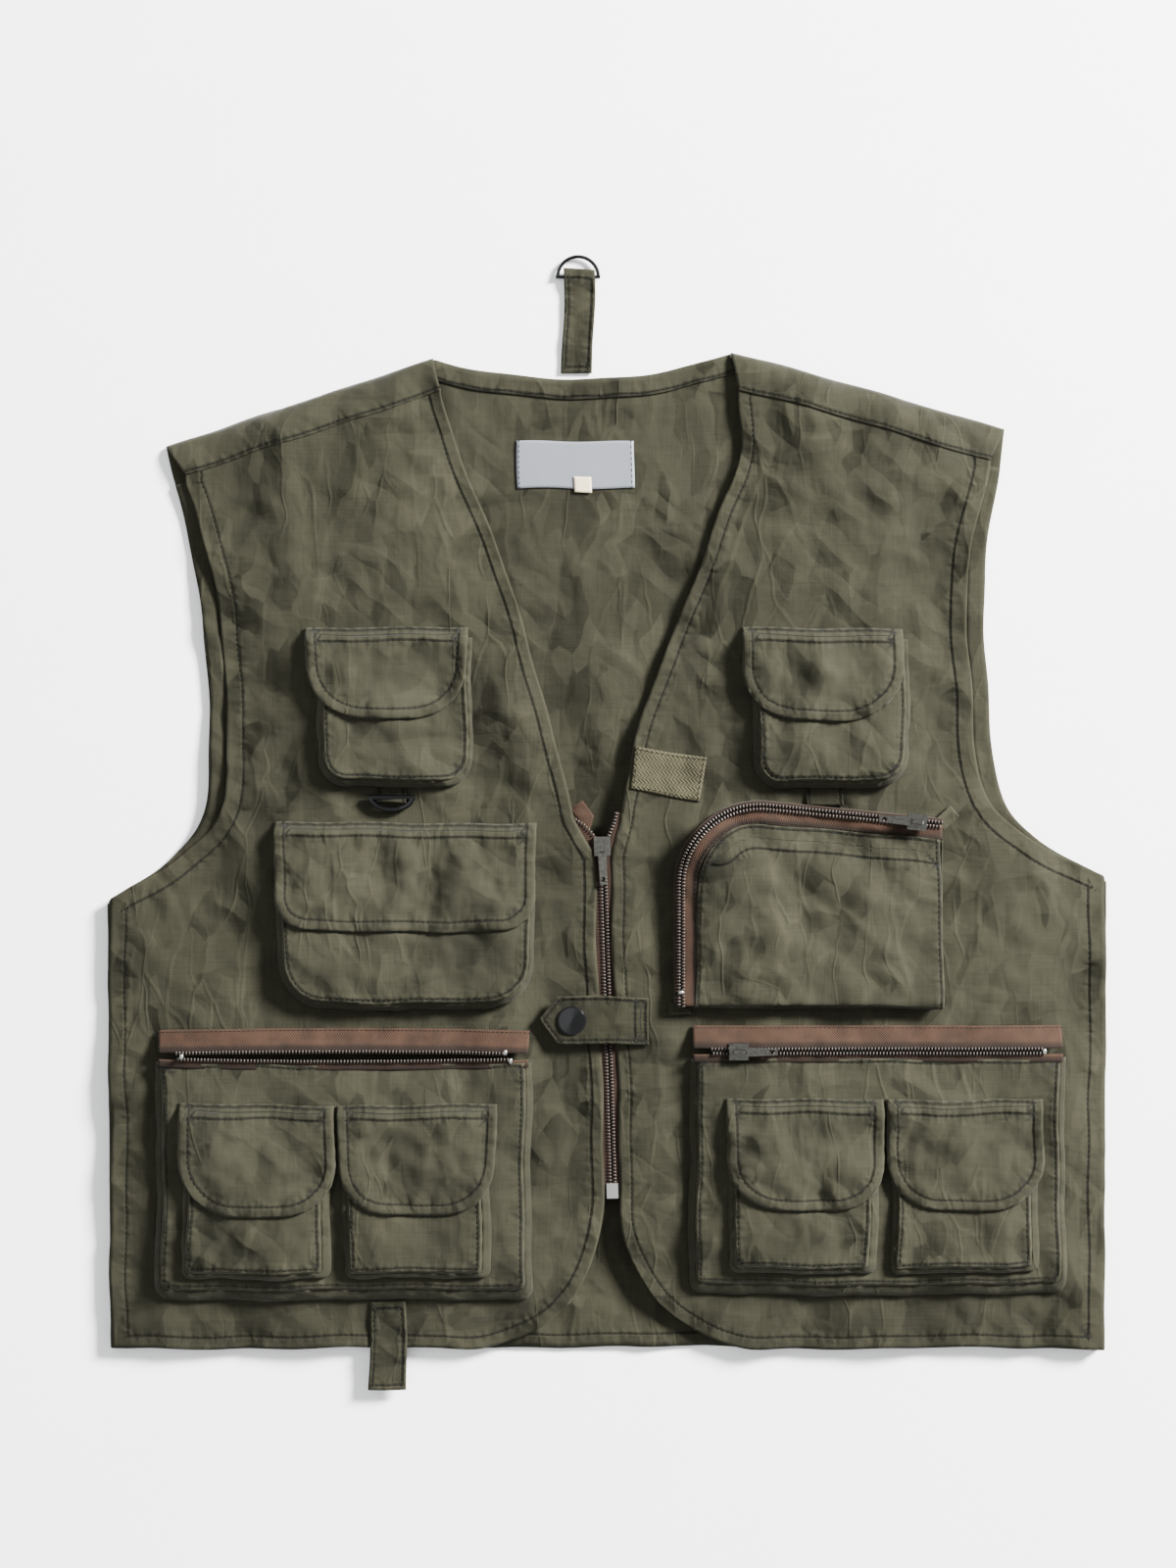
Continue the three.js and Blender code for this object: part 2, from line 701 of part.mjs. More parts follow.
// ---- Cargo pockets: a gusset frame, a face, a zip across the top, and two small pockets on the face ----
const cargoFaceBottom = onFront + cargo.depth + gap;
const cargoFaceTop = cargoFaceBottom + cloth;
const lensGap = 5; // the right pocket's zip is undone, so its halves have parted
const zipEnd = 13; // from the pocket's side to the end of the coil
for (const side of Object.keys(SIDES)) {
  const { width, height, zipHeight, zipDrop, radius } = cargo;
  const x = SIDES[side] * (cargoCentreMargin[side] + width / 2);
  const top = cargoTop[side];
  const rim = 2 * cloth;
  const frameOuter = prism(tongue(x, top, width, height, radius), onFront, onFront + cargo.depth);
  const frameInner = prism(
    tongue(x, top - rim, width - 2 * rim, height - 2 * rim, Math.max(1, radius - rim)),
    onFront - 1,
    onFront + cargo.depth + 1,
  );
  add(`cargo_gusset_${side}`, cut(frameOuter, frameInner), shellCloth);
  const faceTop = top - zipHeight - gap;
  const face = prism(
    tongue(x, faceTop, width, height - zipHeight - gap, radius),
    cargoFaceBottom,
    cargoFaceTop,
  );
  add(`cargo_face_${side}`, face, shellCloth);

  const chainY = top - zipDrop;
  const x0 = x - width / 2 + zipEnd;
  const x1 = x + width / 2 - zipEnd;
  const slotHalf = (u) =>
    side === "right" ? zipSlot / 2 + (lensGap / 2) * Math.sin(Math.PI * u) ** 0.6 : zipSlot / 2;
  const steps = side === "right" ? 14 : 1;
  const rail = (offset, sign) =>
    Array.from({ length: steps + 1 }, (_, i) => {
      const u = i / steps;
      return [x0 + (x1 - x0) * u, chainY + sign * (slotHalf(u) + offset)];
    });
  const slot = [...rail(0, 1), ...rail(0, -1).reverse()];
  const coilPlan = (sign) => [...rail(coilWidth, sign), ...rail(0, sign).reverse()];
  const coil = (sign) => prism(coilPlan(sign), cargoFaceBottom, cargoFaceTop + 1);
  const half = width / 2;
  const tape = prism(
    [
      [x - half, top],
      [x - half, top - zipHeight],
      [x + half, top - zipHeight],
      [x + half, top],
    ],
    cargoFaceBottom,
    cargoFaceTop,
    [slot],
  );
  add(`cargo_zip_${side}`, joined(tape, coil(1), coil(-1)), zipTape);

  const onFace = cargoFaceTop + gap;
  const middle = x + smallShift[side];
  const halfPitch = (SIDES[side] * smallPitch) / 2;
  const places = { outer: middle + halfPitch, inner: middle - halfPitch };
  for (const [name, across] of Object.entries(places)) {
    const seamY = top - smallFlapDrop;
    add(`small_pocket_${side}_${name}`, tray(across, seamY - flapRise, smallPocket, onFace), shellCloth);
    add(`small_flap_${side}_${name}`, flap(across, seamY, smallFlap, smallPocket, onFace), shellCloth);
  }
}
// The left pocket's slider is at its inner end, pull outwards.
const cargoCoilTop = cargoFaceTop + 1;
const cargoSliderAt = [cargoCentreMargin.left + zipEnd + 14, cargoTop.left - cargo.zipDrop];
const cargoSlider = add("cargo_slider", slider(cargoCoilTop - cargoFaceBottom), gunmetal);
place(cargoSlider, ...cargoSliderAt, cargoCoilTop, Math.PI / 2);
const cargoPull = add("cargo_pull", pull(), gunmetal);
place(cargoPull, ...cargoSliderAt, cargoCoilTop + pullAxisRise, Math.PI / 2);

// ---- Zip pocket: a zip runs up its inner side, round the corner and along its top ----
const [zx, zy] = zipPocketAt;
const topHeading = -THREE.MathUtils.degToRad(zipPocket.slope);
const cornerX = zx + zipPocket.radius;
const cornerY = zy + zipPocket.height - zipPocket.radius;
// Points of the zip's line moved inwards by d, with the line's end set back by `back`.
function zipLine(d, back) {
  const radius = zipPocket.radius - d;
  const bend = arc(cornerX, cornerY, radius, 180, 90 - zipPocket.slope, 12);
  const [bx, by] = bend.at(-1);
  const reach = (zx + zipPocket.width - back - bx) / Math.cos(topHeading);
  return [
    [zx + d, zy + back],
    ...bend,
    [bx + reach * Math.cos(topHeading), by + reach * Math.sin(topHeading)],
  ];
}
const band = (inside, outside, back) => [...zipLine(-outside, back), ...zipLine(inside, back).reverse()];
const zipPocketPlan = (d, back) => {
  const line = zipLine(d, back);
  return [...line, [line.at(-1)[0], zy + back]];
};
const gussetIn = sliderWidth / 2 + 0.8; // the gusset stands clear of the slider's way
const zipFaceBottom = onFront + zipPocket.depth + gap;
const zipFaceTop = zipFaceBottom + cloth;
add(
  "zip_pocket_gusset",
  cut(
    prism(zipPocketPlan(gussetIn, 0), onFront, onFront + zipPocket.depth),
    prism(zipPocketPlan(gussetIn + 2 * cloth, 2 * cloth), onFront - 1, onFront + zipPocket.depth + 1),
  ),
  shellCloth,
);
const zipFacePlan = zipPocketPlan(zipPocket.bandIn + gap, 0);
add("zip_pocket_face", prism(zipFacePlan, zipFaceBottom, zipFaceTop), shellCloth);
const slotBack = 9;
const pocketTape = prism(band(zipPocket.bandIn, zipPocket.bandOut, 1), zipFaceBottom, zipFaceTop);
const coilHalf = coilWidth + zipSlot / 2;
const pocketCoils = prism(band(coilHalf, coilHalf, slotBack - 1), zipFaceBottom, zipFaceTop + 1);
const pocketSlot = prism(band(zipSlot / 2, zipSlot / 2, slotBack), zipFaceBottom - 1, zipFaceTop + 2);
add("zip_pocket_zip", cut(joined(pocketTape, pocketCoils), pocketSlot), zipTape);
const zipPocketCoilTop = zipFaceTop + 1;
const zipEndPoint = zipLine(0, slotBack + sliderLength / 2 + 1).at(-1);
const pocketSlider = add("zip_pocket_slider", slider(zipPocketCoilTop - zipFaceBottom), gunmetal);
place(pocketSlider, ...zipEndPoint, zipPocketCoilTop, topHeading - Math.PI / 2);
const pocketPull = add("zip_pocket_pull", pull(), gunmetal);
place(pocketPull, ...zipEndPoint, zipPocketCoilTop + pullAxisRise, topHeading - Math.PI / 2);

// ---- Waist strap with its press stud ----
const strapClear = 0.5;
const strapBottom = coilTop + plateGap + plate + bailRise + strapClear;
const strapTop = strapBottom + 1.2;
const strapRoot = onFront + 0.2;
const [snapX, snapY] = snapAt;
const strapProfile = [
  [waist.fold, strapRoot],
  [waist.fold, strapRoot + 1.2],
  [waist.rampEnd, strapTop],
  [waist.tip, strapTop],
  [waist.tip, strapBottom],
  [waist.rampEnd - 1, strapBottom],
  [waist.fold - 3.2, strapRoot],
];
const strapHalf = waist.width / 2;
const strapPlan = [
  [waist.tip, snapY],
  [waist.tip + waist.pointLength, snapY + strapHalf],
  [waist.fold, snapY + strapHalf],
  [waist.fold, snapY - strapHalf],
  [waist.tip + waist.pointLength, snapY - strapHalf],
];
const strapBody = solid(profileAlongY(strapProfile, snapY - strapHalf - 1, snapY + strapHalf + 1));
add("waist_strap", geometryOf(strapBody.intersect(solid(prism(strapPlan, 0, strapTop + 5)))), shellCloth);

const turned = (profile) =>
  new THREE.LatheGeometry(profile.map(vector), 24).rotateX(Math.PI / 2).translate(snapX, snapY, 0);
const capBottom = strapTop + gap;
add(
  "snap_cap",
  turned([
    [0, capBottom],
    [snap.capRadius, capBottom],
    [snap.capRadius, capBottom + 0.8],
    [snap.capRadius - 1, capBottom + 1.6],
    [0, capBottom + 2],
  ]),
  blackMetal,
);
const socketTop = strapBottom - gap;
const socketBottom = socketTop - 2;
add(
  "snap_socket",
  turned([
    [snap.hole, socketBottom],
    [snap.socketRadius, socketBottom],
    [snap.socketRadius, socketTop],
    [snap.hole, socketTop],
    [snap.hole, socketBottom],
  ]),
  blackMetal,
);
add(
  "snap_stud",
  turned([
    [0, onFront],
    [snap.base, onFront],
    [snap.base, onFront + 0.8],
    [snap.stud, onFront + 0.8],
    [snap.stud, socketBottom + 1.1],
    [0, socketBottom + 1.1],
  ]),
  blackMetal,
);

// ---- Chest patch and hem tab ----
const patchMesh = add(
  "chest_patch",
  box(-patch.width / 2, patch.width / 2, -patch.height / 2, patch.height / 2, 0, 1.2),
  webbing,
);
const patchY = zy + zipPocket.height + patch.rise;
place(patchMesh, patch.x, patchY, onFront, THREE.MathUtils.degToRad(patch.turn));

const hemTabTop = cargoTop.right - cargo.height - hemTab.drop;
add(
  "hem_tab",
  box(
    hemTab.x - hemTab.width / 2,
    hemTab.x + hemTab.width / 2,
    hemTabTop - hemTab.length,
    hemTabTop,
    onFront,
    onFront + strapThickness,
  ),
  shellCloth,
);

export default vest;
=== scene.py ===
"""A fishing vest of olive cotton, laid flat on its back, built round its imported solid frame.

Every cloth piece here is one idea, used again and again. Two edges of the piece are drawn on the floor
plan, from its bottom to its top. A point of the piece is (1 - s) * left edge(t) + s * right edge(t), where
s runs across from 0 to 1 and t runs up from 0 to 1. A height is then worked out for every point at once,
and the sheet gets its two faces half a thickness away on each side, along its own normal.

Lengths are in millimetres while a shape is worked out, and become metres when its mesh is made.
"""

# %% [markdown]
# # Start from the frame
# The solids were drawn in a CAD program. They say where each part is and how it moves. This
# lesson adds what a solid can't show: cloth that creases, thread, zip teeth and worn enamel. The frame is
# loaded first, because every place below is read from it.

import bpy
import numpy as np
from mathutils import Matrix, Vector


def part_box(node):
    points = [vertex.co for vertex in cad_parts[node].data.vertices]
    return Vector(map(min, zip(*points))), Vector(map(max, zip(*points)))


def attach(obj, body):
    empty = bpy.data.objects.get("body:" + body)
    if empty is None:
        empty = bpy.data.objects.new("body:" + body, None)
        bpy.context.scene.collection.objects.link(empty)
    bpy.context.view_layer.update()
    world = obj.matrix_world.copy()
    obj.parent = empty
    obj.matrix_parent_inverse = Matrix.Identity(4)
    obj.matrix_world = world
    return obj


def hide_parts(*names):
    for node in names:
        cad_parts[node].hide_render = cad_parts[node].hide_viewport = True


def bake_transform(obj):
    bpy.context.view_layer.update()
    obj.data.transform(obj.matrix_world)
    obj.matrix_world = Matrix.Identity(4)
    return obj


MM = 0.001
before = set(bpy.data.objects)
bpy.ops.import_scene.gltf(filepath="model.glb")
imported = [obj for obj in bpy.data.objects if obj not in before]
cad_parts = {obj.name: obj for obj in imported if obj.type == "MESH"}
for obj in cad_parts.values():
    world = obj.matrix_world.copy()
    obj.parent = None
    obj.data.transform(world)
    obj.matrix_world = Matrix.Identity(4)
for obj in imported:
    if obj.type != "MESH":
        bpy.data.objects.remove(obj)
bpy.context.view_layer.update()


def span(node):
    """The lowest and highest corner of a solid, in millimetres."""
    low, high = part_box(node)
    return np.array(low) / MM, np.array(high) / MM


# %% [markdown]
# # Colours and nodes
# Paint and dye charts give colours as hex values, which are meant for the eye. A shader adds light, so it
# needs the linear value. One function turns the first into the second. A second function adds any shader
# node: its inputs are given as numbers or as the sockets that feed them.

# %% Helpers for materials
def linear(code):
    """sRGB hex to linear RGBA: c / 12.92 near black, else ((c + 0.055) / 1.055) ** 2.4."""
    c = np.array([int(code[i : i + 2], 16) / 255 for i in (1, 3, 5)])
    return (*np.where(c <= 0.04045, c / 12.92, ((c + 0.055) / 1.055) ** 2.4), 1.0)


def add_node(material, kind, inputs=None, **settings):
    """Adds one shader node. An input takes a value, a socket, or a node, which gives its first output."""
    tree = material.node_tree
    made = tree.nodes.new(kind)
    for key, value in settings.items():
        setattr(made, key, value)
    for key, value in (inputs or {}).items():
        value = value.outputs[0] if isinstance(value, bpy.types.Node) else value
        if isinstance(value, bpy.types.NodeSocket):
            tree.links.new(value, made.inputs[key])
        else:
            made.inputs[key].default_value = value
    return made


def new_material(name):
    """An empty material, and a function that adds nodes to it."""
    material = bpy.data.materials.new(name)
    material.use_nodes = True
    material.node_tree.nodes.clear()
    return material, lambda kind, inputs=None, **settings: add_node(material, kind, inputs, **settings)


def finish_material(add, **surface):
    """Feeds the surface's values into a Principled shader and that into the output."""
    names = {key.replace("_", " "): value for key, value in surface.items()}
    shader = add("ShaderNodeBsdfPrincipled", names)
    add("ShaderNodeOutputMaterial", {"Surface": shader.outputs[0]})


# %% [markdown]
# # Olive cotton
# The shell is a thin plain-weave cotton, piece-dyed olive and washed many times. Up close it is a grid of
# threads with thicker slubs. From a step away the eye sees small sharp creases, because cotton keeps
# every fold it is pressed into, and a slightly paler dye on turned edges, where it rubs. The crease ridges
# are painted paler, partly as wear and partly as a painted highlight, and the dips are painted darker as shade.
#
# Such threads are about 0.4 mm apart, too fine for a picture of the whole vest, so the weave is drawn at
# 1.1 mm. Each cloth mesh carries four measures that the shader reads: its flat place (the UV map "cloth",
# in metres), how far a point is from the line of stitching ("seam"), how far along that line it is
# ("along"), and how far it is from the nearest cut edge ("rim"). With those the shader presses a groove at
# the thread, puckers the cloth beside it and wears the edge pale.

# %% Weave of the cotton
MATH, VECTOR, RANGE = "ShaderNodeMath", "ShaderNodeVectorMath", "ShaderNodeMapRange"
NOISE, VORONOI, MAPPING = "ShaderNodeTexNoise", "ShaderNodeTexVoronoi", "ShaderNodeMapping"
THREAD_PITCH = 1.1 * MM  # drawn; such cloth usually has a thread every 0.4 mm
PUCKER_PITCH = 6.5 * MM


def woven(add, flat):
    """Bumps sin(2 pi x / pitch) * sin(2 pi y / pitch), and slubs, which are noise drawn out each way."""
    waves, slubs = [], []
    for axis in add("ShaderNodeSeparateXYZ", {0: flat}).outputs[:2]:
        phase = add(MATH, {0: axis, 1: 2 * np.pi / THREAD_PITCH}, operation="MULTIPLY")
        waves.append(add(MATH, {0: phase}, operation="SINE"))
    for stretch in ((900, 45, 1), (45, 900, 1)):
        drawn = add(MAPPING, {"Vector": flat, "Scale": stretch})
        slubs.append(add(NOISE, {"Vector": drawn, "Scale": 1.0, "Detail": 2.0}))
    weave = add(MATH, {0: waves[0], 1: waves[1]}, operation="MULTIPLY")
    return weave, add(MATH, {0: slubs[0], 1: slubs[1]}, operation="ADD")


# %% [markdown]
# # Creases in the shader
# A crease pattern is made of cells whose outlines are bent by a slow noise. Each cell is a facet that
# leans its own way, so its random colour, less a half, is added to the normal. The outlines of the cells
# are sharp ridges, raised in the bump and painted pale, partly as wear and partly as a painted highlight.
# Long pressed folds are added to these: a triangle wave, strong only in patches.

# %% Creases of the cotton
# Cells a metre, how far each leans, the turn of the pattern in radians, and how far it is drawn out.
FACETS = ((22.0, 0.14, 0.6, 0.3), (50.0, 0.18, -0.7, 0.3), (105.0, 0.3, 0.3, 0.4))
# The wave's scale, its turn in radians, and a shift that makes the three differ.
PRESSED = ((11.0, 0.5, 3.0), (15.0, -0.9, 7.0), (13.0, 1.35, 11.0))


def faceted(add, moved, crease):
    """The normal plus lean * (colour - 0.5) of each cell, made unit length, and the ridges between cells."""
    normal, ridges = add("ShaderNodeNewGeometry").outputs["Normal"], []
    for scale, lean, turn, squeeze in FACETS:
        drawn = add(MAPPING, {"Vector": moved, "Rotation": (0, 0, turn), "Scale": (1, squeeze, 1)})
        cells = {"Vector": drawn, "Scale": scale}
        tilt = add(VORONOI, {**cells, "Smoothness": 0.06}, feature="SMOOTH_F1").outputs["Color"]
        tilt = add(VECTOR, {0: tilt, 1: (0.5, 0.5, 0.5)}, operation="SUBTRACT")
        tilt = add(VECTOR, {0: tilt, 1: (lean * crease,) * 3}, operation="MULTIPLY")
        normal = add(VECTOR, {0: normal, 1: tilt}, operation="ADD")
        edge = add(VORONOI, cells, feature="DISTANCE_TO_EDGE").outputs["Distance"]
        ridges.append(add(RANGE, {"Value": edge, "From Max": 0.045, "To Min": 1.0, "To Max": 0.0}))
    small = add(MATH, {0: ridges[1], 1: 0.8}, operation="MULTIPLY")
    ridge = add(MATH, {0: ridges[0], 1: small}, operation="MAXIMUM")
    return add(VECTOR, {0: normal}, operation="NORMALIZE"), ridge


def pressed_folds(add, moved):
    """The sum of three triangle waves, each times a patch of noise."""
    folds = []
    for scale, turn, shift in PRESSED:
        drawn = add(MAPPING, {"Vector": moved, "Rotation": (0, 0, turn), "Location": (shift, shift, 0)})
        shape = {"Vector": drawn, "Scale": scale, "Distortion": 3.5, "Detail": 2.0, "Detail Scale": 0.4}
        wave = add("ShaderNodeTexWave", shape, wave_profile="TRI").outputs["Fac"]
        patch = add(NOISE, {"Vector": drawn, "Scale": 26.0, "Detail": 1.0})
        patch = add(RANGE, {"Value": patch, "From Min": 0.5, "From Max": 0.68})
        folds.append(add(MATH, {0: wave, 1: patch}, operation="MULTIPLY"))
    first = add(MATH, {0: folds[0], 1: folds[1]}, operation="ADD")
    return add(MATH, {0: first, 1: folds[2]}, operation="ADD")


# %% Stitched lines on the cotton
def stitch_marks(add, place):
    """A groove under the thread, a turning on its outer side, and puckers sin(2 pi along / pitch + noise)."""
    seam = add("ShaderNodeAttribute", attribute_name="seam").outputs["Fac"]
    along = add("ShaderNodeAttribute", attribute_name="along").outputs["Fac"]
    away = add(MATH, {0: seam}, operation="ABSOLUTE")
    falls = {"Value": away, "To Min": 1.0, "To Max": 0.0}
    groove = add(RANGE, {**falls, "From Max": 1.3 * MM}, interpolation_type="SMOOTHSTEP")
    beside = add(RANGE, {**falls, "From Max": 6.0 * MM}, interpolation_type="SMOOTHSTEP")
    turning = add(RANGE, {**falls, "Value": seam, "From Min": -1.0 * MM, "From Max": 1.0 * MM})
    wander = add(NOISE, {"Vector": place, "Scale": 70.0})
    wander = add(MATH, {0: wander, 1: 9.0}, operation="MULTIPLY")
    phase = add(MATH, {0: along, 1: 2 * np.pi / PUCKER_PITCH}, operation="MULTIPLY")
    phase = add(MATH, {0: phase, 1: wander}, operation="ADD")
    ripple = add(MATH, {0: phase}, operation="SINE")
    return groove, turning, add(MATH, {0: ripple, 1: beside}, operation="MULTIPLY")


# %% Cotton
def cotton(name, dark, light, crease=1.0):
    """Washed cotton between two shades of one dye; crease scales how deep its creases are."""
    material, add = new_material(name)
    flat = add("ShaderNodeUVMap", uv_map="cloth")
    place = add("ShaderNodeTexCoord").outputs["Object"]
    rim = add("ShaderNodeAttribute", attribute_name="rim").outputs["Fac"]
    weave, slub = woven(add, flat)
    bend = add(NOISE, {"Vector": place, "Scale": 19.0, "Detail": 2.0}).outputs["Color"]
    bent = add(VECTOR, {0: bend, 1: (0.026, 0.026, 0.0)}, operation="MULTIPLY")
    moved = add(VECTOR, {0: place, 1: bent}, operation="ADD")
    normal, ridge = faceted(add, moved, crease)
    here = add(NOISE, {"Vector": place, "Scale": 17.0, "Detail": 1.0})
    here = add(RANGE, {"Value": here, "From Min": 0.44, "From Max": 0.62})
    ridge = add(MATH, {0: ridge, 1: here}, operation="MULTIPLY")
    rumple = add(NOISE, {"Vector": moved, "Scale": 60.0, "Detail": 4.0, "Roughness": 0.6})
    groove, turning, pucker = stitch_marks(add, place)
    # The height is the sum of each part times its depth.
    height = 0.0
    for part, depth in (
        (pressed_folds(add, moved), 1.4 * MM * crease), (rumple, 0.8 * MM * crease), (ridge, 0.34 * MM),
        (groove, -0.35 * MM), (turning, 0.35 * MM), (pucker, 0.16 * MM), (weave, 0.035 * MM), (slub, 0.10 * MM),
    ):
        height = add(MATH, {0: part, 1: depth, 2: height}, operation="MULTIPLY_ADD")
    bump = add("ShaderNodeBump", {"Height": height, "Strength": 1.0, "Distance": 1.0, "Normal": normal})

    # The colour: clouds of fading, slubs and worn edges, which are the cloth's own; crease ridges painted pale,
    # partly as wear and partly as a painted highlight; the rumple painted paler on its bumps and darker in its dips,
    # as painted light and shade; and painted shade in the stitch groove.
    cloud = add(NOISE, {"Vector": place, "Scale": 14.0, "Detail": 4.0})
    worn = add(RANGE, {"Value": rim, "From Max": 1.6 * MM, "To Min": 0.18, "To Max": 0.0})
    fade = 0.0
    for part, share in ((cloud, 0.28), (slub, 0.35), (ridge, 0.16), (rumple, 0.35), (groove, -0.5), (worn, 1.0)):
        fade = add(MATH, {0: part, 1: share, 2: fade}, operation="MULTIPLY_ADD")
    shade = add(RANGE, {"Value": fade, "From Min": 0.21, "From Max": 1.26})
    dye = add("ShaderNodeMix", {"Factor": shade, 6: linear(dark), 7: linear(light)}, data_type="RGBA")
    finish_material(add, Base_Color=dye.outputs[2], Roughness=0.92, Specular_IOR_Level=0.12, Sheen_Weight=0.025,
                    Sheen_Roughness=0.5, Normal=bump)
    return material


shell_cotton = cotton("washed_olive_cotton", "#11110b", "#302f23")
pocket_cotton = cotton("washed_olive_cotton_pockets", "#12120c", "#323125", crease=0.9)
strap_cotton = cotton("dark_olive_strap_cotton", "#0d0d08", "#29281c", crease=0.6)

# %% [markdown]
# # Zip tape, nylon, metal and thread
# The zips' tapes are copper-brown polyester twill, woven in a herringbone, and their coils are dark brown
# nylon. Sliders are zinc, plated to a dull gunmetal that rubs through on the edges. The press stud and
# the rings are brass or steel under gloss black enamel. Sewing thread is a shade darker than the cloth.

# %% Smaller materials
def plain(name, dark, light, grain, roughness, bump=0.05, metallic=0.0, stretch=(1, 1, 1), **more):
    """A finish whose colour and height follow one noise, grain millimetres across."""
    material, add = new_material(name)
    place = add("ShaderNodeTexCoord").outputs["Object"]
    drawn = add(MAPPING, {"Vector": place, "Scale": stretch})
    noise = add(NOISE, {"Vector": drawn, "Scale": 1 / (grain * MM), "Detail": 3.0})
    colour = add("ShaderNodeMix", {"Factor": noise, 6: linear(dark), 7: linear(light)}, data_type="RGBA")
    raised = add(MATH, {0: noise, 1: bump * MM}, operation="MULTIPLY")
    normal = add("ShaderNodeBump", {"Height": raised, "Distance": 1.0})
    finish_material(add, Base_Color=colour.outputs[2], Roughness=roughness, Metallic=metallic, Normal=normal, **more)
    return material


def twill(name, dark, light, rib, chevron, coil_side=1.0):
    """Ribs sin(2 pi (x + zigzag) / rib); the zigzag of y turns them back every chevron millimetres."""
    material, add = new_material(name)
    flat = add("ShaderNodeUVMap", uv_map="cloth")
    cut = add("ShaderNodeSeparateXYZ", {0: flat}).outputs
    zigzag = add(MATH, {0: cut[1], 1: chevron * MM}, operation="PINGPONG")
    across = add(MATH, {0: cut[0], 1: zigzag}, operation="ADD")
    phase = add(MATH, {0: across, 1: 2 * np.pi / (rib * MM)}, operation="MULTIPLY")
    ribs = add(MATH, {0: phase}, operation="SINE")
    dust = add(NOISE, {"Vector": flat, "Scale": 90.0, "Detail": 4.0})
    # The strip beside the coil is painted darker, as painted shade beside the raised coil.
    beside = add(RANGE, {"Value": cut[1], "From Min": 2.2 * MM, "From Max": 4.2 * MM, "To Min": coil_side})
    tone = add(MATH, {0: ribs, 1: 0.22, 2: dust}, operation="MULTIPLY_ADD")
    tone = add(MATH, {0: tone, 1: beside}, operation="MULTIPLY")
    colour = add("ShaderNodeMix", {"Factor": tone, 6: linear(dark), 7: linear(light)}, data_type="RGBA")
    dusty = add(MATH, {0: dust, 1: 0.5 * MM}, operation="MULTIPLY")
    height = add(MATH, {0: ribs, 1: 0.12 * MM, 2: dusty}, operation="MULTIPLY_ADD")
    normal = add("ShaderNodeBump", {"Height": height, "Distance": 1.0})
    finish_material(add, Base_Color=colour.outputs[2], Roughness=0.85, Specular_IOR_Level=0.15, Sheen_Weight=0.02,
                    Normal=normal)
    return material


dark_tape = twill("narrow_zip_tape", "#070403", "#2e1f16", rib=1.4, chevron=3.0)
# This tape gets painted shade beside its coil.
zip_tape = twill("herringbone_zip_tape", "#0c0805", "#3d2a1e", rib=1.4, chevron=3.0, coil_side=0.25)
loop_tape = twill("olive_loop_tape", "#201f15", "#444130", rib=2.2, chevron=2.2)
nylon_coil = plain("brown_nylon_coil", "#0c0806", "#2b211a", 2.0, 0.38)
gunmetal = plain("worn_gunmetal_plating", "#2a2a28", "#6c6b64", 1.4, 0.3, metallic=1.0)
black_enamel = plain("gloss_black_enamel", "#020202", "#060607", 3, 0.12, bump=0.01, Specular_IOR_Level=0.3)
bright_stop = plain("pressed_aluminium_stop", "#8d8d89", "#b4b4ae", 1.0, 0.35, metallic=1.0)
white_satin = plain("woven_satin_label", "#4f5257", "#6c7078", 0.8, 0.45, stretch=(1, 9, 1), Sheen_Weight=0.2)
cream_satin = plain("cream_satin_tab", "#b8aa8a", "#d2c6a8", 0.8, 0.5, stretch=(9, 1, 1))
thread = plain("olive_sewing_thread", "#0a0906", "#1b1a11", 0.6, 0.9, Specular_IOR_Level=0.1)
# The names of all the materials made so far.
print("materials:", ", ".join(m.name for m in bpy.data.materials))

# %% [markdown]
# # From arrays to a mesh
# A grid of points becomes quads. A sheet is two such grids, front and back, with a rim of quads round
# them, so it is a closed body like a real piece of cloth. All the points are worked out as whole arrays,
# and they go into the mesh in one step.

# %% Mesh helpers
def grid_faces(rows, columns):
    """Quads of a grid of points; they face the viewer who sees columns run right and rows run up."""
    i = np.arange(rows * columns).reshape(rows, columns)
    return np.stack([i[:-1, :-1], i[:-1, 1:], i[1:, 1:], i[1:, :-1]], -1).reshape(-1, 4)


def sheet_shell(middle, thickness):
    """Two faces at middle +- normal * thickness / 2, and the rim that joins them."""
    rows, columns = middle.shape[:2]
    normal = np.cross(np.gradient(middle, axis=1), np.gradient(middle, axis=0))
    normal /= np.linalg.norm(normal, axis=-1, keepdims=True) + 1e-12
    points = np.concatenate([middle + normal * thickness / 2, middle - normal * thickness / 2]).reshape(-1, 3)
    front, count = grid_faces(rows, columns), rows * columns
    i = np.arange(count).reshape(rows, columns)
    border = np.concatenate([i[0], i[1:, -1], i[-1, -2::-1], i[-2:0:-1, 0]])
    after = np.roll(border, -1)
    rim = np.stack([border + count, after + count, after, border], -1)
    return points, np.concatenate([front, front[:, ::-1] + count, rim])


def make_piece(name, points, faces, material, body, nodes=(), fields=None, flat=None, blend=None):
    """A mesh object from points in millimetres, standing for its solids. It rides on its body, unless blend is given:
    then it is fixed where it lies.
    """
    mesh = bpy.data.meshes.new(name)
    mesh.from_pydata(points * MM, [], faces, shade_flat=False)
    for key, values in (fields or {}).items():
        mesh.attributes.new(key, "FLOAT", "POINT").data.foreach_set("value", (values * MM).astype(np.float32))
    if flat is not None:
        corner = np.zeros(len(mesh.loops), np.int32)
        mesh.loops.foreach_get("vertex_index", corner)
        mesh.uv_layers.new(name="cloth").data.foreach_set("uv", (flat[corner] * MM).astype(np.float32).ravel())
    mesh.materials.append(material)
    piece = bpy.data.objects.new(name, mesh)
    bpy.context.scene.collection.objects.link(piece)
    if blend:
        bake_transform(piece)
    else:
        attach(piece, body)
    if nodes:
        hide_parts(*nodes)
    return piece


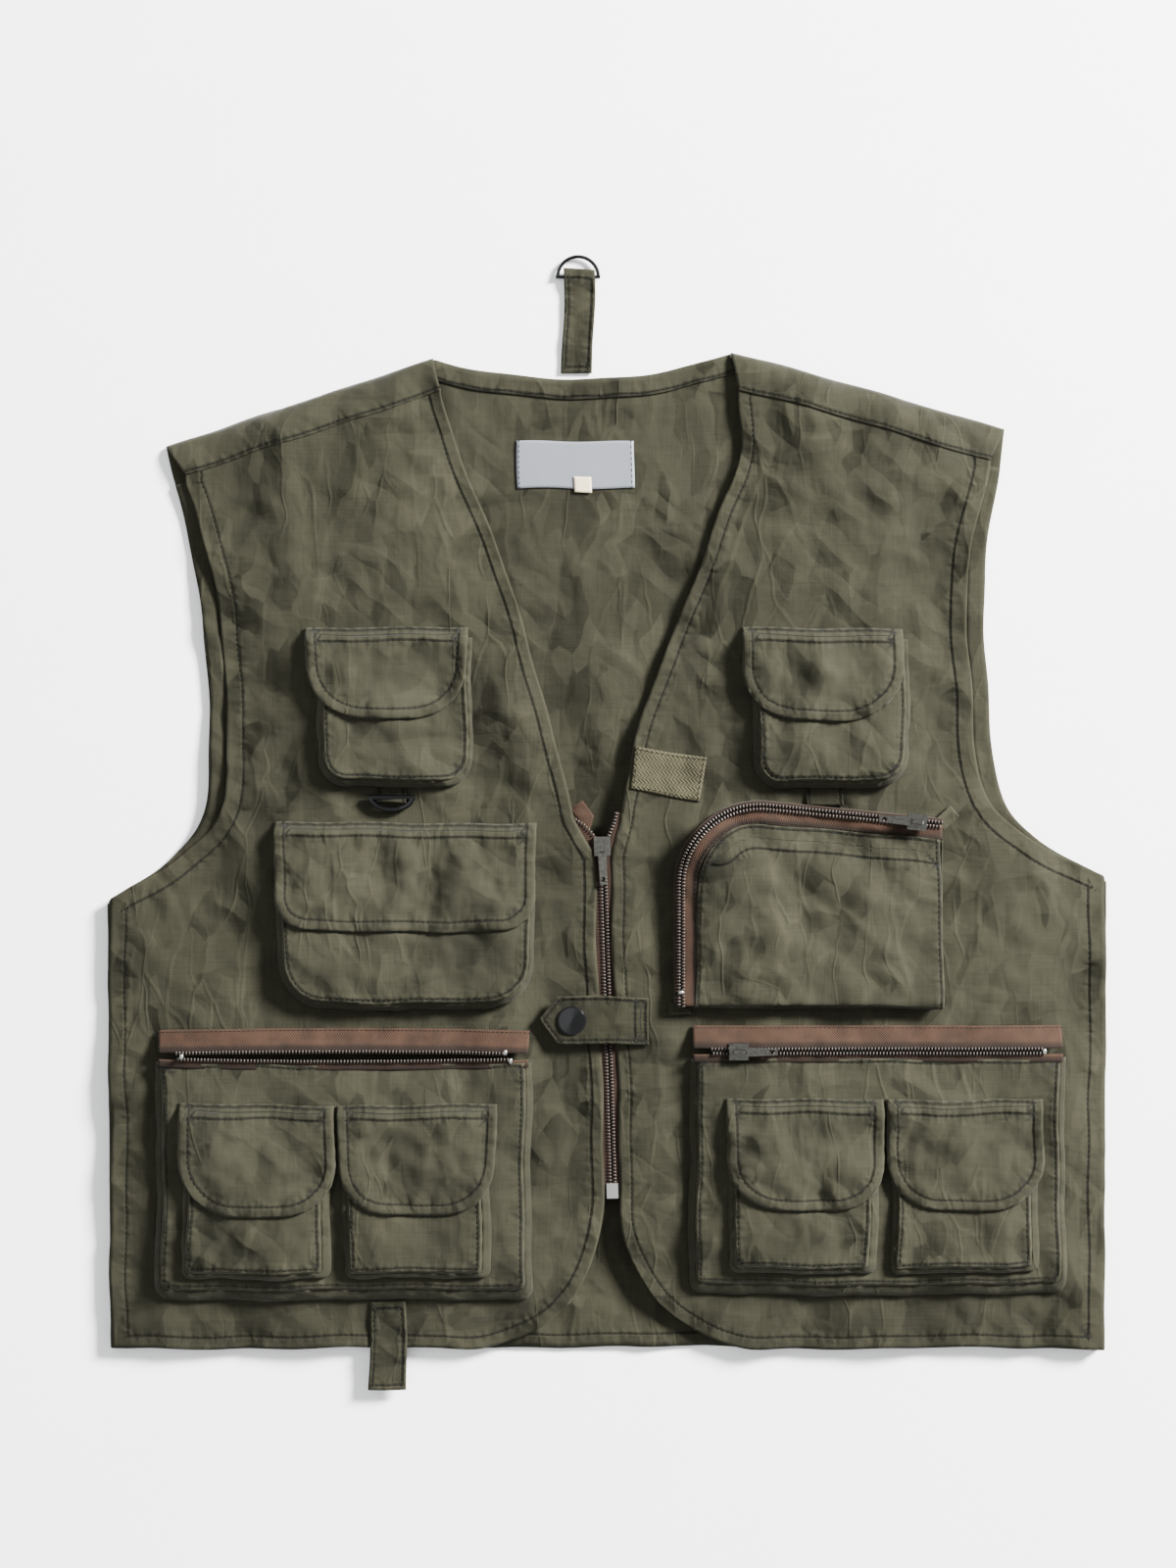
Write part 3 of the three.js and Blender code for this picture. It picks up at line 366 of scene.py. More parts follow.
# %% [markdown]
# # Four edges make a plan
# Each piece of cloth is drawn by four edges on the floor plan: bottom and top run left to right, left and
# right run upwards. A Coons patch fills them: it adds the sheet stretched between left and right to the
# sheet stretched between bottom and top, and takes away the one stretched between the corners, which was
# counted twice. This is kinder than a filled outline, because every row and column follows the cut.

# %% Plans
def smooth(value, low=0.0, high=1.0):
    """0 below low, 1 above high, and 3 t^2 - 2 t^3 between."""
    t = np.clip((value - low) / (high - low), 0, 1)
    return t * t * (3 - 2 * t)


def length_of(line):
    """The length of a line of points."""
    return np.hypot(*np.diff(line, axis=0).T).sum()


def even(line, count):
    """The same line, as count points evenly spaced along it."""
    line = np.asarray(line, float)
    walked = np.concatenate([[0], np.cumsum(np.hypot(*np.diff(line, axis=0).T))])
    at = np.linspace(0, walked[-1], count)
    return np.stack([np.interp(at, walked, line[:, k]) for k in (0, 1)], -1)


def dense(line, step):
    """The same line, as points about step apart."""
    return even(line, max(3, int(length_of(np.asarray(line, float)) / step) + 1))


def coons(edges, step):
    """(1 - s) left + s right + (1 - t) bottom + t top, less the four corners blended by s and t."""
    lengths = {key: length_of(np.asarray(line, float)) for key, line in edges.items()}
    longest = max(lengths["left"], lengths["right"]), max(lengths["bottom"], lengths["top"])
    rows, columns = (max(4, int(value / step) + 1) for value in longest)
    left, right = (even(edges[key], rows)[:, None] for key in ("left", "right"))
    bottom, top = (even(edges[key], columns)[None] for key in ("bottom", "top"))
    t, s = np.linspace(0, 1, rows)[:, None, None], np.linspace(0, 1, columns)[None, :, None]
    west, east = ((1 - t) * bottom[:, end] + t * top[:, end] for end in (slice(None, 1), slice(-1, None)))
    corners = (1 - s) * west + s * east
    return (1 - s) * left + s * right + (1 - t) * bottom + t * top - corners


def spline(points, steps=10):
    """A Catmull-Rom curve: between points b and c, half of (2b + (c-a)u + (2a-5b+4c-d)u^2 + (3b-a-3c+d)u^3)."""
    p = np.asarray(points, float)
    p = np.concatenate([[2 * p[0] - p[1]], p, [2 * p[-1] - p[-2]]])
    a, b, c, d = (p[i : len(p) - 3 + i, None] for i in range(4))
    u = np.linspace(0, 1, steps, endpoint=False)[None, :, None]
    curve = (2 * b + (c - a) * u + (2 * a - 5 * b + 4 * c - d) * u**2 + (3 * b - a - 3 * c + d) * u**3) / 2
    return np.concatenate([curve.reshape(-1, 2), p[-2:-1]])


def arc(cx, cy, radius, start, end, count=14):
    """Points (cx + radius cos a, cy + radius sin a), a in degrees from start to end."""
    a = np.radians(np.linspace(start, end, count))
    return np.stack([cx + radius * np.cos(a), cy + radius * np.sin(a)], -1)


def tongue(low, high, radius):
    """The four edges of a rectangle with round bottom corners, each corner split at its middle."""
    (x0, y0), (x1, y1), r = low, high, radius
    bottom = np.concatenate([arc(x0 + r, y0 + r, r, 225, 270), arc(x1 - r, y0 + r, r, 270, 315)])
    left = np.concatenate([arc(x0 + r, y0 + r, r, 225, 180), [(x0, y1)]])
    right = np.concatenate([arc(x1 - r, y0 + r, r, -45, 0), [(x1, y1)]])
    return {"bottom": bottom, "left": left, "right": right, "top": np.array([(x0, y1), (x1, y1)])}


def walk_round(edges):
    """The free edge of a pocket: down the left, along the bottom and up the right."""
    return np.concatenate([edges["left"][::-1], edges["bottom"], edges["right"]])


# %% [markdown]
# # Creases
# Pressed cotton folds into flat facets with sharp turns between, so its creases aren't round waves. A
# triangle wave is straight between its turns. A dozen or so of them, each in its own direction, bent by a sine
# and strong only here and there, cross each other and make the crumpled facets. Every piece reads the
# same creases at the same place, so a pocket rides on the folds of the cloth under it.

# %% Creases
def crumple(x, y, seed, size=60.0, waves=14, bias=None):
    """Crumpled cloth from about -1 to 1: triangle waves, each bent and faded by slow sine waves."""
    rng = np.random.default_rng(seed)
    shape = (waves,) + (1,) * np.ndim(x)
    turn = rng.uniform(0, np.pi, waves) if bias is None else bias + rng.normal(0, 0.3, waves)
    turn = turn.reshape(shape)
    length = (size * rng.uniform(0.35, 1.4, waves)).reshape(shape)
    shift, bend, fade = (rng.uniform(0, 6.28, waves).reshape(shape) for _ in range(3))
    across = x * np.cos(turn) + y * np.sin(turn)
    down = y * np.cos(turn) - x * np.sin(turn)
    phase = across / length + 0.35 * np.sin(down / (length * 1.1) + bend) + shift
    fold = 4 * np.abs(phase % 1 - 0.5) - 1
    strength = np.clip(np.sin(across / (length * 1.7) + down / (length * 2.3) + fade), 0, 1)
    return (fold * strength * length).sum(0) / (size * np.sqrt(waves) * 0.55)


def settled(points):
    """Cut edges never lie dead straight: each point moves by up to about a millimetre, on slow waves."""
    x, y = points[..., 0], points[..., 1]
    dx = 0.6 * np.sin(y / 23 + x / 61) + 0.4 * np.sin(y / 9.1 - x / 33 + 1)
    dy = 0.6 * np.sin(x / 27 - y / 57 + 2) + 0.4 * np.sin(x / 8.3 + y / 29 + 4)
    return points + np.stack([dx, dy], -1)


def gap_to(line, x, y, step=4.0):
    """Distance from each (x, y) to the nearest point of a line, and how far along it that point is."""
    line = dense(line, step)
    flat = np.stack([np.ravel(x), np.ravel(y)], -1)
    parts = np.array_split(flat, len(flat) * len(line) // 3_000_000 + 1)
    found = [np.hypot(*(part[:, None] - line[None]).transpose(2, 0, 1)) for part in parts]
    gap = np.concatenate([f.min(1) for f in found])
    along = np.concatenate([f.argmin(1) for f in found]) * step
    return gap.reshape(np.shape(x)), along.reshape(np.shape(x))


# %% [markdown]
# # Thread and zip teeth are copies of one small shape
# A topstitch is a grain of thread 2.3 mm long that follows the cloth up and down; a zip's coil shows as
# short bars side by side. Both are one small shape repeated hundreds of times along a line. One array
# product places every copy: point = centre + x * along + y * across + z * up.

# %% Copies along a line
GRAIN = np.array([[-1.1, 0, 0], [-0.6, 0.2, 0], [-0.6, 0, 0.22], [-0.6, -0.2, 0], [0.6, 0.2, 0], [0.6, 0, 0.22],
                  [0.6, -0.2, 0], [1.1, 0, 0], [-0.6, 0, -0.2], [0.6, 0, -0.2]])
GRAIN_FACES = np.array([[0, 2, 1], [0, 3, 2], [0, 8, 3], [0, 1, 8], [7, 4, 5], [7, 5, 6], [7, 6, 9], [7, 9, 4],
                        [1, 2, 5], [1, 5, 4], [2, 3, 6], [2, 6, 5], [3, 8, 9], [3, 9, 6], [8, 1, 4], [8, 4, 9]])
sewn = {}


def copies_along(shape, shape_faces, centre, way):
    """Points and faces of the shape copied to every centre, its x along way and its z up."""
    way = way / (np.linalg.norm(way, axis=1, keepdims=True) + 1e-9)
    side = np.cross([0, 0, 1.0], way)
    side /= np.linalg.norm(side, axis=1, keepdims=True) + 1e-9
    points = centre[:, None] + shape @ np.stack([way, side, np.cross(way, side)], 1)
    faces = shape_faces[None] + len(shape) * np.arange(len(centre))[:, None, None]
    return points.reshape(-1, 3), faces.reshape(-1, shape_faces.shape[1])


def moved_in(line, inset):
    """The line moved to its left by inset, along the normal of its own direction."""
    line = dense(line, 1.0)
    way = np.gradient(line, axis=0)
    way /= np.linalg.norm(way, axis=1, keepdims=True) + 1e-9
    return line + inset * np.stack([-way[:, 1], way[:, 0]], -1)


def sew(line, height, group, lift=0.5, pitch=3.0):
    """Remembers the stitches of one line on a surface of that height, for the group's stitching."""
    flat = dense(line, pitch)
    points = np.column_stack([flat, height(flat[:, 0], flat[:, 1]) + lift])
    sewn.setdefault(group, []).append((points, np.gradient(points, axis=0)))


def make_stitching(group, body, blend=None):
    """One mesh of all the stitches remembered for a group."""
    centre, way = (np.concatenate(part) for part in zip(*sewn.pop(group)))
    print("stitching", group, len(centre), "stitches")
    grains = copies_along(GRAIN, GRAIN_FACES, centre, way)
    return make_piece(f"stitching_{group}", *grains, thread, body, blend=blend)


# %% [markdown]
# # A piece of cloth
# The piece gets its plan, its height, two faces, the measures that the cotton shader reads, and its
# stitches. Its cut size is kept as well, the plan's own length and width, because these pieces are laid
# flat and creased, not stretched.

# %% Cloth pieces
cut_sizes = {}
GUSSET_THICKNESS = 0.8
FAR = 900.0  # a distance that stands for no edge and no seam near by
DOWN = {"bottom": 1, "right": 1, "top": -1, "left": -1}


def declare(piece, grid):
    """Keeps a sheet's cut size, the length and width of its grid; its area is worked out from its quads but not kept.
    """
    cross = np.cross(np.diff(grid, axis=0)[:, :-1], np.diff(grid, axis=1)[:-1])
    area = np.abs(cross).sum() if grid.shape[-1] == 2 else np.linalg.norm(cross, axis=-1).sum()
    lengths = [np.linalg.norm(np.diff(grid, axis=k), axis=-1).sum(k).max() for k in (1, 0)]
    flat = [max(float(value), 10.1) * MM for value in lengths]
    area = float(np.clip(area * MM**2, 0.301 * flat[0] * flat[1], flat[0] * flat[1]))
    cut_sizes[piece.name] = [round(value / MM) for value in flat]


def cloth_piece(name, edges, height, body, nodes=(), hems=None, material=None, thickness=0.9, step=2.4,
                blend=None, group=None):
    """A sheet over four edges at the given height. hems says how far in from each edge its stitches run."""
    hems, material = hems or {}, material or shell_cotton
    edges = {key: settled(dense(line, 1.5)) for key, line in edges.items()}
    plan = coons(edges, step)
    x, y = plan[..., 0], plan[..., 1]
    points, faces = sheet_shell(np.dstack([x, y, height(x, y)]), thickness)
    rim = np.full(x.shape, FAR)
    seam, along = rim.copy(), np.zeros(x.shape)
    for key, line in edges.items():
        gap, walked = gap_to(line, x, y, 2.0)
        rim = np.minimum(rim, gap)
        for inset in np.atleast_1d(hems.get(key, [])):
            near = np.abs(gap - inset) < np.abs(seam)
            for other, depth in hems.items():
                if other != key:
                    near &= gap_to(edges[other], x, y, 3.0)[0] > np.min(depth) - 0.7
            seam, along = np.where(near, gap - inset, seam), np.where(near, walked, along)
            sewn_line = moved_in(line, DOWN[key] * inset)
            for other, depth in hems.items():
                if other != key:
                    clear = gap_to(edges[other], *sewn_line.T, 1.0)[0]
                    sewn_line = sewn_line[clear > np.min(depth) - 0.7]
            sew(sewn_line, height, group or body, lift=thickness / 2 + 0.1)
    fields = {key: np.tile(value.ravel(), 2) for key, value in (("rim", rim), ("seam", seam), ("along", along))}
    flat = np.tile(plan.reshape(-1, 2), (2, 1))
    piece = make_piece(f"{name}_cloth", points, faces, material, body, nodes, fields, flat, blend)
    declare(piece, plan)
    return piece


def ribbon(name, inner, outer, body, nodes=(), material=None, rows=8, bulge=2.0, seed=1, puff=0.5):
    """A wall between two lines of 3D points: (1 - v) outer + v inner, pushed outward by bulge * sin(pi v)."""
    material = material or shell_cotton
    v = np.linspace(0, 1, rows)[:, None, None]
    grid = (1 - v) * outer[None] + v * inner[None]
    way = np.gradient(outer, axis=0)
    out = np.stack([way[:, 1], -way[:, 0], 0 * way[:, 0]], -1)
    out /= np.linalg.norm(out, axis=1, keepdims=True) + 1e-9
    walked = np.concatenate([[0], np.cumsum(np.linalg.norm(np.diff(outer, axis=0), axis=1))])
    pleats = crumple(walked, walked * 0, seed, size=26)
    grid = grid + out[None] * np.sin(np.pi * v) * (bulge + puff * pleats[None, :, None])
    points, faces = sheet_shell(grid, GUSSET_THICKNESS)
    flat = np.tile(np.stack(np.broadcast_arrays(walked[None], v[..., 0] * 10), -1).reshape(-1, 2), (2, 1))
    far = np.full(rows * len(walked), FAR)
    fields = {"rim": np.tile(far, 2), "seam": np.tile(far, 2), "along": np.zeros(2 * far.size)}
    piece = make_piece(f"{name}_cloth", points, faces, material, body, nodes, fields, flat)
    declare(piece, grid)
    return piece


# %% [markdown]
# # The cut of the vest
# The vest is wider at the hem than at the chest and was laid a little askew, so every point drawn square
# is leaned over by the same small amounts. The wearer's right is at negative x.

# %% Cut lines
HEM_Y, CHEST_HALF, HEM_HALF, NECK = -259.7, 287.5, 286.0, (85.5, 313.3)
ZIP_TOP, ZIP_BOTTOM, ZIP_LEAN = 33.3, HEM_Y + 87, np.radians(1.7)
HEM_ROUND, YOKE, EDGE_GAP, PIT_Y = 80.0, 21.0, 4.4, 5.5
print("hem to neck", round(NECK[1] - HEM_Y), "mm; chest", round(2 * CHEST_HALF), "mm")


def lay(points):
    """(x - 0.048 * max(y, 0), y + tilt * x), where tilt grows from 0 at the hem to 0.0225 at y = 0."""
    points = np.asarray(points, float)
    x, y = points[..., 0], points[..., 1]
    tilt = 0.0225 * np.clip((y - HEM_Y) / -HEM_Y, 0, 1)
    return np.stack([x - 0.048 * np.maximum(y, 0), y + tilt * x], -1)


def zip_middle(y):
    """The main zip's middle line, which leans by 1.7 degrees."""
    return -3.114 - np.tan(ZIP_LEAN) * (y - ZIP_TOP)


def armhole(side, inset=0.0):
    """From the armpit up to the shoulder's tip."""
    drawn = [(CHEST_HALF, PIT_Y), (249.5 - inset / 2, 29.5), (229 - inset, 57.5), (225 - inset, 115),
             (228 - inset, 190), (242.5 - 0.4 * inset, 265)]
    return lay(spline(drawn) * [side, 1])


def side_line(side):
    """From the hem's corner up to the armpit."""
    return lay([(side * HEM_HALF, HEM_Y), (side * CHEST_HALF, PIT_Y)])


V_DRAWN = {-1: [(85.5, 313.3), (73, 257), (46, 177), (26, 94), (18, 46)],
           1: [(85.5, 313.3), (89, 256), (71, 210), (31, 119), (14, 66), (8.5, 41)]}


def front_edge(side):
    """The V neck, the straight zip edge and the round corner, from the hem's corner arc up to the neck."""
    vee = lay(spline(V_DRAWN[side]) * [side, 1])[::-1]
    straight = np.array([(zip_middle(y) + side * EDGE_GAP, y) for y in (ZIP_BOTTOM, 24.0)])
    x, y = straight[0]
    start, end = (270, 180) if side > 0 else (-90, 0)
    round_corner = arc(x + side * HEM_ROUND, y, HEM_ROUND, start, end, 24)
    round_corner[:, 1] = y + (round_corner[:, 1] - y) * (y - HEM_Y) / HEM_ROUND
    return round_corner, np.concatenate([straight, vee[vee[:, 1] > 30]])


def shoulder(side, lowered=0.0):
    """From the shoulder's tip to the neck point, lowered down the front by so much."""
    tip, neck = armhole(side)[-1], lay([(side * NECK[0], NECK[1])])[0]
    return np.array([tip, neck]) - [0, lowered]


# %% [markdown]
# # The heights of the two fronts
# The fronts lie on the back with air and pocket cloth between them. They are highest in the middle, where
# the zip and the pockets hold them up, and sink at the sides, the armholes, the neck edge and the hem.
# This one function is read by everything that lies on them.

# %% Heights
EDGES = {}
for side in (-1, 1):
    round_corner, rise = front_edge(side)
    outer = np.concatenate([side_line(side), armhole(side, 10.0)[1:]])
    EDGES[side] = {"outer": outer, "vee": rise[rise[:, 1] > 40]}


SEWN_DOWN = [[(x, span(node)[1][1]) for x in (span(node)[0][0], span(node)[1][0])]
             for node in ("chest_flap_left", "chest_flap_right", "utility_flap", "hem_tab")]


def front_height(x, y):
    """11, less a drop of up to 5 beside the free edges, plus creases that die away at the flaps' seams."""
    x, y = np.asarray(x, float), np.asarray(y, float)
    side_gap = np.minimum(*(gap_to(EDGES[side]["outer"], x, y, 8.0)[0] for side in (-1, 1)))
    vee_gap = np.minimum(*(gap_to(EDGES[side]["vee"], x, y, 8.0)[0] for side in (-1, 1)))
    drop = 4.5 * (1 - smooth(side_gap, 0, 60))
    drop = np.maximum(drop, 5.0 * (1 - smooth(vee_gap, 0, 42)) * smooth(y, 60, 130))
    drop = np.maximum(drop, 4.0 * (1 - smooth(y - HEM_Y, 0, 36)))
    calm = 0.35 + 0.65 * smooth(np.abs(x - zip_middle(y)), 6, 34)
    calm = np.maximum(calm, smooth(y, 60, 110))
    for seam_line in SEWN_DOWN:
        calm = calm * (0.1 + 0.9 * smooth(gap_to(seam_line, x, y, 8.0)[0], 4, 26))
    folds = 1.3 * crumple(x, y, 5, 62) + 0.6 * crumple(x, y, 6, 30) + 2.0 * crumple(x, y, 7, 95, 8, bias=0.5)
    return 11.0 - drop + folds * calm


label_low, label_high = span("neck_label")
LABEL_LINE = [(x, (label_low[1] + label_high[1]) / 2) for x in (label_low[0], label_high[0])]


def back_height(x, y):
    """0.6 on the floor, with folds that can only stand up from it."""
    folds = 1.8 * crumple(x, y, 11, 75) + 0.6 * crumple(x, y, 12, 30) + 1.0
    inside = smooth(np.minimum(gap_to(side_line(-1), x, y, 20)[0], gap_to(side_line(1), x, y, 20)[0]), 0, 25)
    inside = inside * smooth(gap_to(back_edges()["top"], x, y, 10)[0], 2, 30)
    inside = inside * (0.12 + 0.88 * smooth(gap_to(LABEL_LINE, x, y, 8)[0], 22, 60))
    return 0.6 + np.clip(folds, 0, 5.0) * inside


def back_edges():
    """Hem, sides with armholes, and the shoulders with the back neck's curve."""
    neck = np.array([(x, NECK[1] - 14 * (1 - (x / NECK[0]) ** 2)) for x in np.linspace(-NECK[0], NECK[0], 24)])
    top = np.concatenate([armhole(-1)[-1:], lay(neck), armhole(1)[-1:]])
    left, right = (np.concatenate([side_line(side), armhole(side)[1:]]) for side in (-1, 1))
    return {"bottom": lay([(-HEM_HALF, HEM_Y), (HEM_HALF, HEM_Y)]), "top": top, "left": left, "right": right}


def point3(line, height):
    """The line lifted to a surface's height."""
    return np.column_stack([line, height(line[:, 0], line[:, 1])])


# %% [markdown]
# # The back
# One large sheet on the floor. Its inside shows in the neck opening, with a facing stitched round the
# neck, and a narrow facing at each armhole shows beside the front.

# %% Back
back_hems = {"bottom": 7.5, "left": 9.0, "right": 9.0, "top": 9.5}
cloth_piece("back", back_edges(), back_height, "back", ["back_panel"], back_hems, step=3.4, group="back")
neck_line = back_edges()["top"][1:-1]
lower, upper = (moved_in(neck_line, inset)[1:-1] for inset in (-11.5, -0.8))
edges = {"bottom": lower, "top": upper, "left": [lower[0], upper[0]], "right": [lower[-1], upper[-1]]}
cloth_piece("back_neck_facing", edges, lambda x, y: back_height(x, y) + 1.1, "back", ["back_neck_facing"],
            {"bottom": 1.6}, step=2.2)
for side, word in ((-1, "right"), (1, "left")):
    line = armhole(side)[3:-3]
    inner = moved_in(line, side * 10.5)
    left, right = (line, inner) if side < 0 else (inner, line)
    edges = {"left": left, "right": right, "bottom": [left[0], right[0]], "top": [left[-1], right[-1]]}
    cloth_piece(f"armhole_facing_{word}", edges, lambda x, y: back_height(x, y) + 1.0, "back",
                [f"armhole_facing_{word}"], step=2.6)

# %% [markdown]
# # The fronts, the yokes and the side seams
# Each front runs from the hem to the yoke seam. The yoke comes over the shoulder from the back. A bend
# between the two is given by two points, at the yoke seam and 100 mm lower, but the front doesn't bend: it
# is fixed where it lies and does not ride on its body. The stitched facing makes the armhole, neck and zip
# edges thicker and stiffer.

# %% Fronts
for side, word in ((-1, "right"), (1, "left")):
    body = f"front_{word}"
    round_corner, rise = front_edge(side)
    seam_line = shoulder(side, YOKE)
    outer = np.concatenate([side_line(side), armhole(side, 10.0)[1:]])
    (tip_x, tip_y), (neck_x, neck_y) = seam_line
    pitch = (neck_y - tip_y) / (neck_x - tip_x)
    outer, neck_end = (line[line[:, 1] < tip_y + pitch * (line[:, 0] - tip_x) - 2] for line in (outer, rise))
    ends = [np.array([line[-1, 0], tip_y + pitch * (line[-1, 0] - tip_x)]) for line in (outer, neck_end)]
    top = np.array([ends[0] + [0, 1.5], ends[1] + [0, 1.5]])
    outer, neck_end = np.vstack([outer, top[:1]]), np.vstack([neck_end, top[1:]])
    half = len(round_corner) // 2
    hem = np.concatenate([lay([(side * HEM_HALF, HEM_Y)]), round_corner[: half + 1]])
    inner = np.concatenate([round_corner[half:], neck_end[1:]])
    if side < 0:
        edges = {"left": outer, "right": inner, "bottom": hem, "top": top}
    else:
        edges = {"left": inner, "right": outer, "bottom": hem[::-1], "top": top[::-1]}
    middle = top.mean(0)
    normal = np.array([-(top[1] - top[0])[1], (top[1] - top[0])[0]])
    normal *= -np.sign(normal[1]) / np.linalg.norm(normal)
    bend = ((*(middle * MM), 11 * MM), (*((middle + 100 * normal) * MM), 11 * MM))
    zip_key, arm_key = ("right", "left") if side < 0 else ("left", "right")
    solids = [f"front_panel_{word}", f"front_facing_{word}"]
    cloth_piece(f"front_{word}", edges, front_height, body, solids, {"bottom": 7.0, zip_key: 7.0, arm_key: 9.5},
                thickness=1.0, blend=bend, group=body)
    make_stitching(body, body, blend=bend)
    edges = {"bottom": np.array(ends), "top": shoulder(side, 0)}
    if side > 0:
        edges = {key: value[::-1] for key, value in edges.items()}
    edges["left"] = [edges["bottom"][0], edges["top"][0]]
    edges["right"] = [edges["bottom"][-1], edges["top"][-1]]
    tip, neck = shoulder(side, YOKE)
    slope = (neck[1] - tip[1]) / (neck[0] - tip[0])

    def yoke_height(x, y, tip=tip, slope=slope):
        """Falls from the front's height at the seam to 1.6 at the shoulder, by sqrt(1 - up^2.4)."""
        up = np.clip((y - (tip[1] + slope * (x - tip[0]))) / YOKE, 0, 1)
        return 1.6 + (front_height(x, y - up * YOKE) + 0.7 - 1.6) * np.sqrt(np.clip(1 - up**2.4, 0, 1))

    solids = [f"shoulder_yoke_{word}"]
    cloth_piece(f"yoke_{word}", edges, yoke_height, "back", solids, {"bottom": 2.0}, step=2.0)
    line = dense(side_line(side), 2.5)[:-1] + [-side * 0.6, 0]
    line = line if side > 0 else line[::-1]
    upper, lower = point3(line, front_height) - [0, 0, 0.9], point3(line, back_height) + [0, 0, 0.9]
    ribbon(f"side_seam_{word}", upper, lower, "back", [f"side_seam_{word}"], bulge=1.0, puff=0.2, seed=3)
make_stitching("back", "back")

# %% [markdown]
# # Pockets
# A patch pocket is a face and a gusset, the strip that gives it depth, joined by a turned edge. The face
# stands off the front by less at its mouth than at its bottom, and sags in the middle of its weight. A
# flap is sewn above the mouth and lies on the face.

# %% Pocket helpers
def pocket(name, body, low, high, radius, base, mouth, depth, nodes, shift=(2.2, 3.0, 0.8), puff=1.6, seed=1,
           hem_top=7.0, step=1.7, crumpled=1.0):
    """Face and gusset of one pocket. Returns the face's height as a function of place, for what lies on it."""
    outline = tongue(low, high, radius)
    west, south, east = shift
    face = tongue((low[0] + west, low[1] + south), (high[0] - east, high[1]), max(radius - 1.5, 2))
    size = np.array(high) - low

    def surface(x, y):
        """Base, plus the depth by how far down, plus a dome, plus creases of the face's own."""
        s, t = np.clip((x - low[0]) / size[0], 0, 1), np.clip((y - low[1]) / size[1], 0, 1)
        dome = np.sin(np.pi * s) * np.sin(np.pi * np.clip(t * 0.9 + 0.05, 0, 1))
        own = 1.3 * crumple(x, y, seed, 40) + 0.4 * crumple(x, y, seed + 40, 20)
        deeper = mouth + (depth - mouth) * smooth(1 - t, 0, 0.8)
        return base(x, y) + deeper + puff * dome + own * crumpled * (0.35 + 0.65 * dome)

    def rolled(x, y):
        """The surface with its edge turned down."""
        gap, _ = gap_to(walk_round(face), x, y, 2.0)
        return surface(x, y) - 1.3 * (1 - smooth(gap, 0, 1.6)) + 0.2 * np.exp(-(((gap - 2.4) / 1.2) ** 2))

    hems = {"bottom": 2.4, "left": 2.4, "right": 2.4, "top": hem_top}
    cloth_piece(f"{name}_face", face, rolled, body, nodes, hems, pocket_cotton, step=step)
    wall, foot = (even(settled(dense(walk_round(edge), 1.5)), 150) for edge in (face, outline))
    wall, foot = point3(wall, rolled) - [0, 0, 0.7], point3(foot, base) + [0, 0, 0.8]
    ribbon(f"{name}_gusset", wall, foot, body, seed=seed, material=pocket_cotton)
    return surface


def flap(name, radius, base, under, seed):
    """A flap sewn at its top edge. It climbs from the seam to the pocket's face in 7 mm, and curls at its rim."""
    low, high = corners(name)
    edges = tongue(low, high, radius)

    def lying(x, y):
        """under + 1.9 beyond 7 mm from the seam, base + 0.9 at it, with creases and a curled rim."""
        climb = smooth(high[1] - y, -0.5, 7)
        gap, _ = gap_to(walk_round(edges), x, y, 2.0)
        own = 0.9 * crumple(x, y, seed, 32) + 0.4 * crumple(x, y, seed + 9, 13)
        rim = -0.9 * (1 - smooth(gap, 0, 1.5)) + 0.35 * np.exp(-(((gap - 3) / 2) ** 2))
        top = under(x, y) + 1.9 + own * smooth(gap, 0, 10) + rim
        return (base(x, y) + 0.9) * (1 - climb) + top * climb

    hems = {"bottom": 5.6, "left": 5.6, "right": 5.6, "top": [1.8, 8.0]}
    cloth_piece(name, edges, lying, name, [name], hems, pocket_cotton, thickness=1.3, step=1.6)
    make_stitching(name, name)


def corners(node):
    """A solid's lowest and highest corners on the floor plan."""
    low, high = span(node)
    return low[:2], high[:2]


# %% Chest and utility pockets
for side, word in ((-1, "right"), (1, "left")):
    name = f"chest_pocket_{word}"
    under = pocket(name, f"front_{word}", *corners(name), 16, front_height, 4.5, 9.5, [name], puff=2.0,
                   seed=20 + side, crumpled=1.3)
    flap(f"chest_flap_{word}", 33, front_height, under, 30 + side)
name = "utility_pocket"
under = pocket(name, "front_right", *corners(name), 26, front_height, 5, 10.5, [name], puff=2.5, seed=25,
               crumpled=1.3)
flap("utility_flap", 20, front_height, under, 35)

# %% [markdown]
# # Cargo pouches
# Each lower pouch is a large box with two small pockets on its face and a zip across its top. The face and
# its gusset are made as before, and the small pockets take the face's surface as their base.

# %% Cargo pouches
zips = {}
ZIP_ROOM = 19.5  # the pouch's face ends this far under its top, and the zip fills the rest
for side, word in ((-1, "right"), (1, "left")):
    body = f"front_{word}"
    low, high = corners(f"cargo_gusset_{word}")
    solids = [f"cargo_gusset_{word}", f"cargo_face_{word}"]
    surface = pocket(f"cargo_{word}", body, low, (high[0], high[1] - ZIP_ROOM), 6, front_height, 8.0, 8.6, solids,
                     shift=(3.0, 6.5, 3.0), puff=0.8, seed=50 + side, hem_top=1.8, step=2.2, crumpled=0.5)
    for place in ("outer", "inner"):
        name = f"small_pocket_{word}_{place}"
        under = pocket(name, body, *corners(name), 3, surface, 2.5, 6.5, [name], shift=(1.0, 2.0, 4.5), puff=1.2,
                       seed=60 + side + len(place), crumpled=0.7)
        flap(f"small_flap_{word}_{place}", 30, surface, under, 70 + side + 2 * len(place))
    zips[word] = surface
    print("cargo pouch", word, "made")

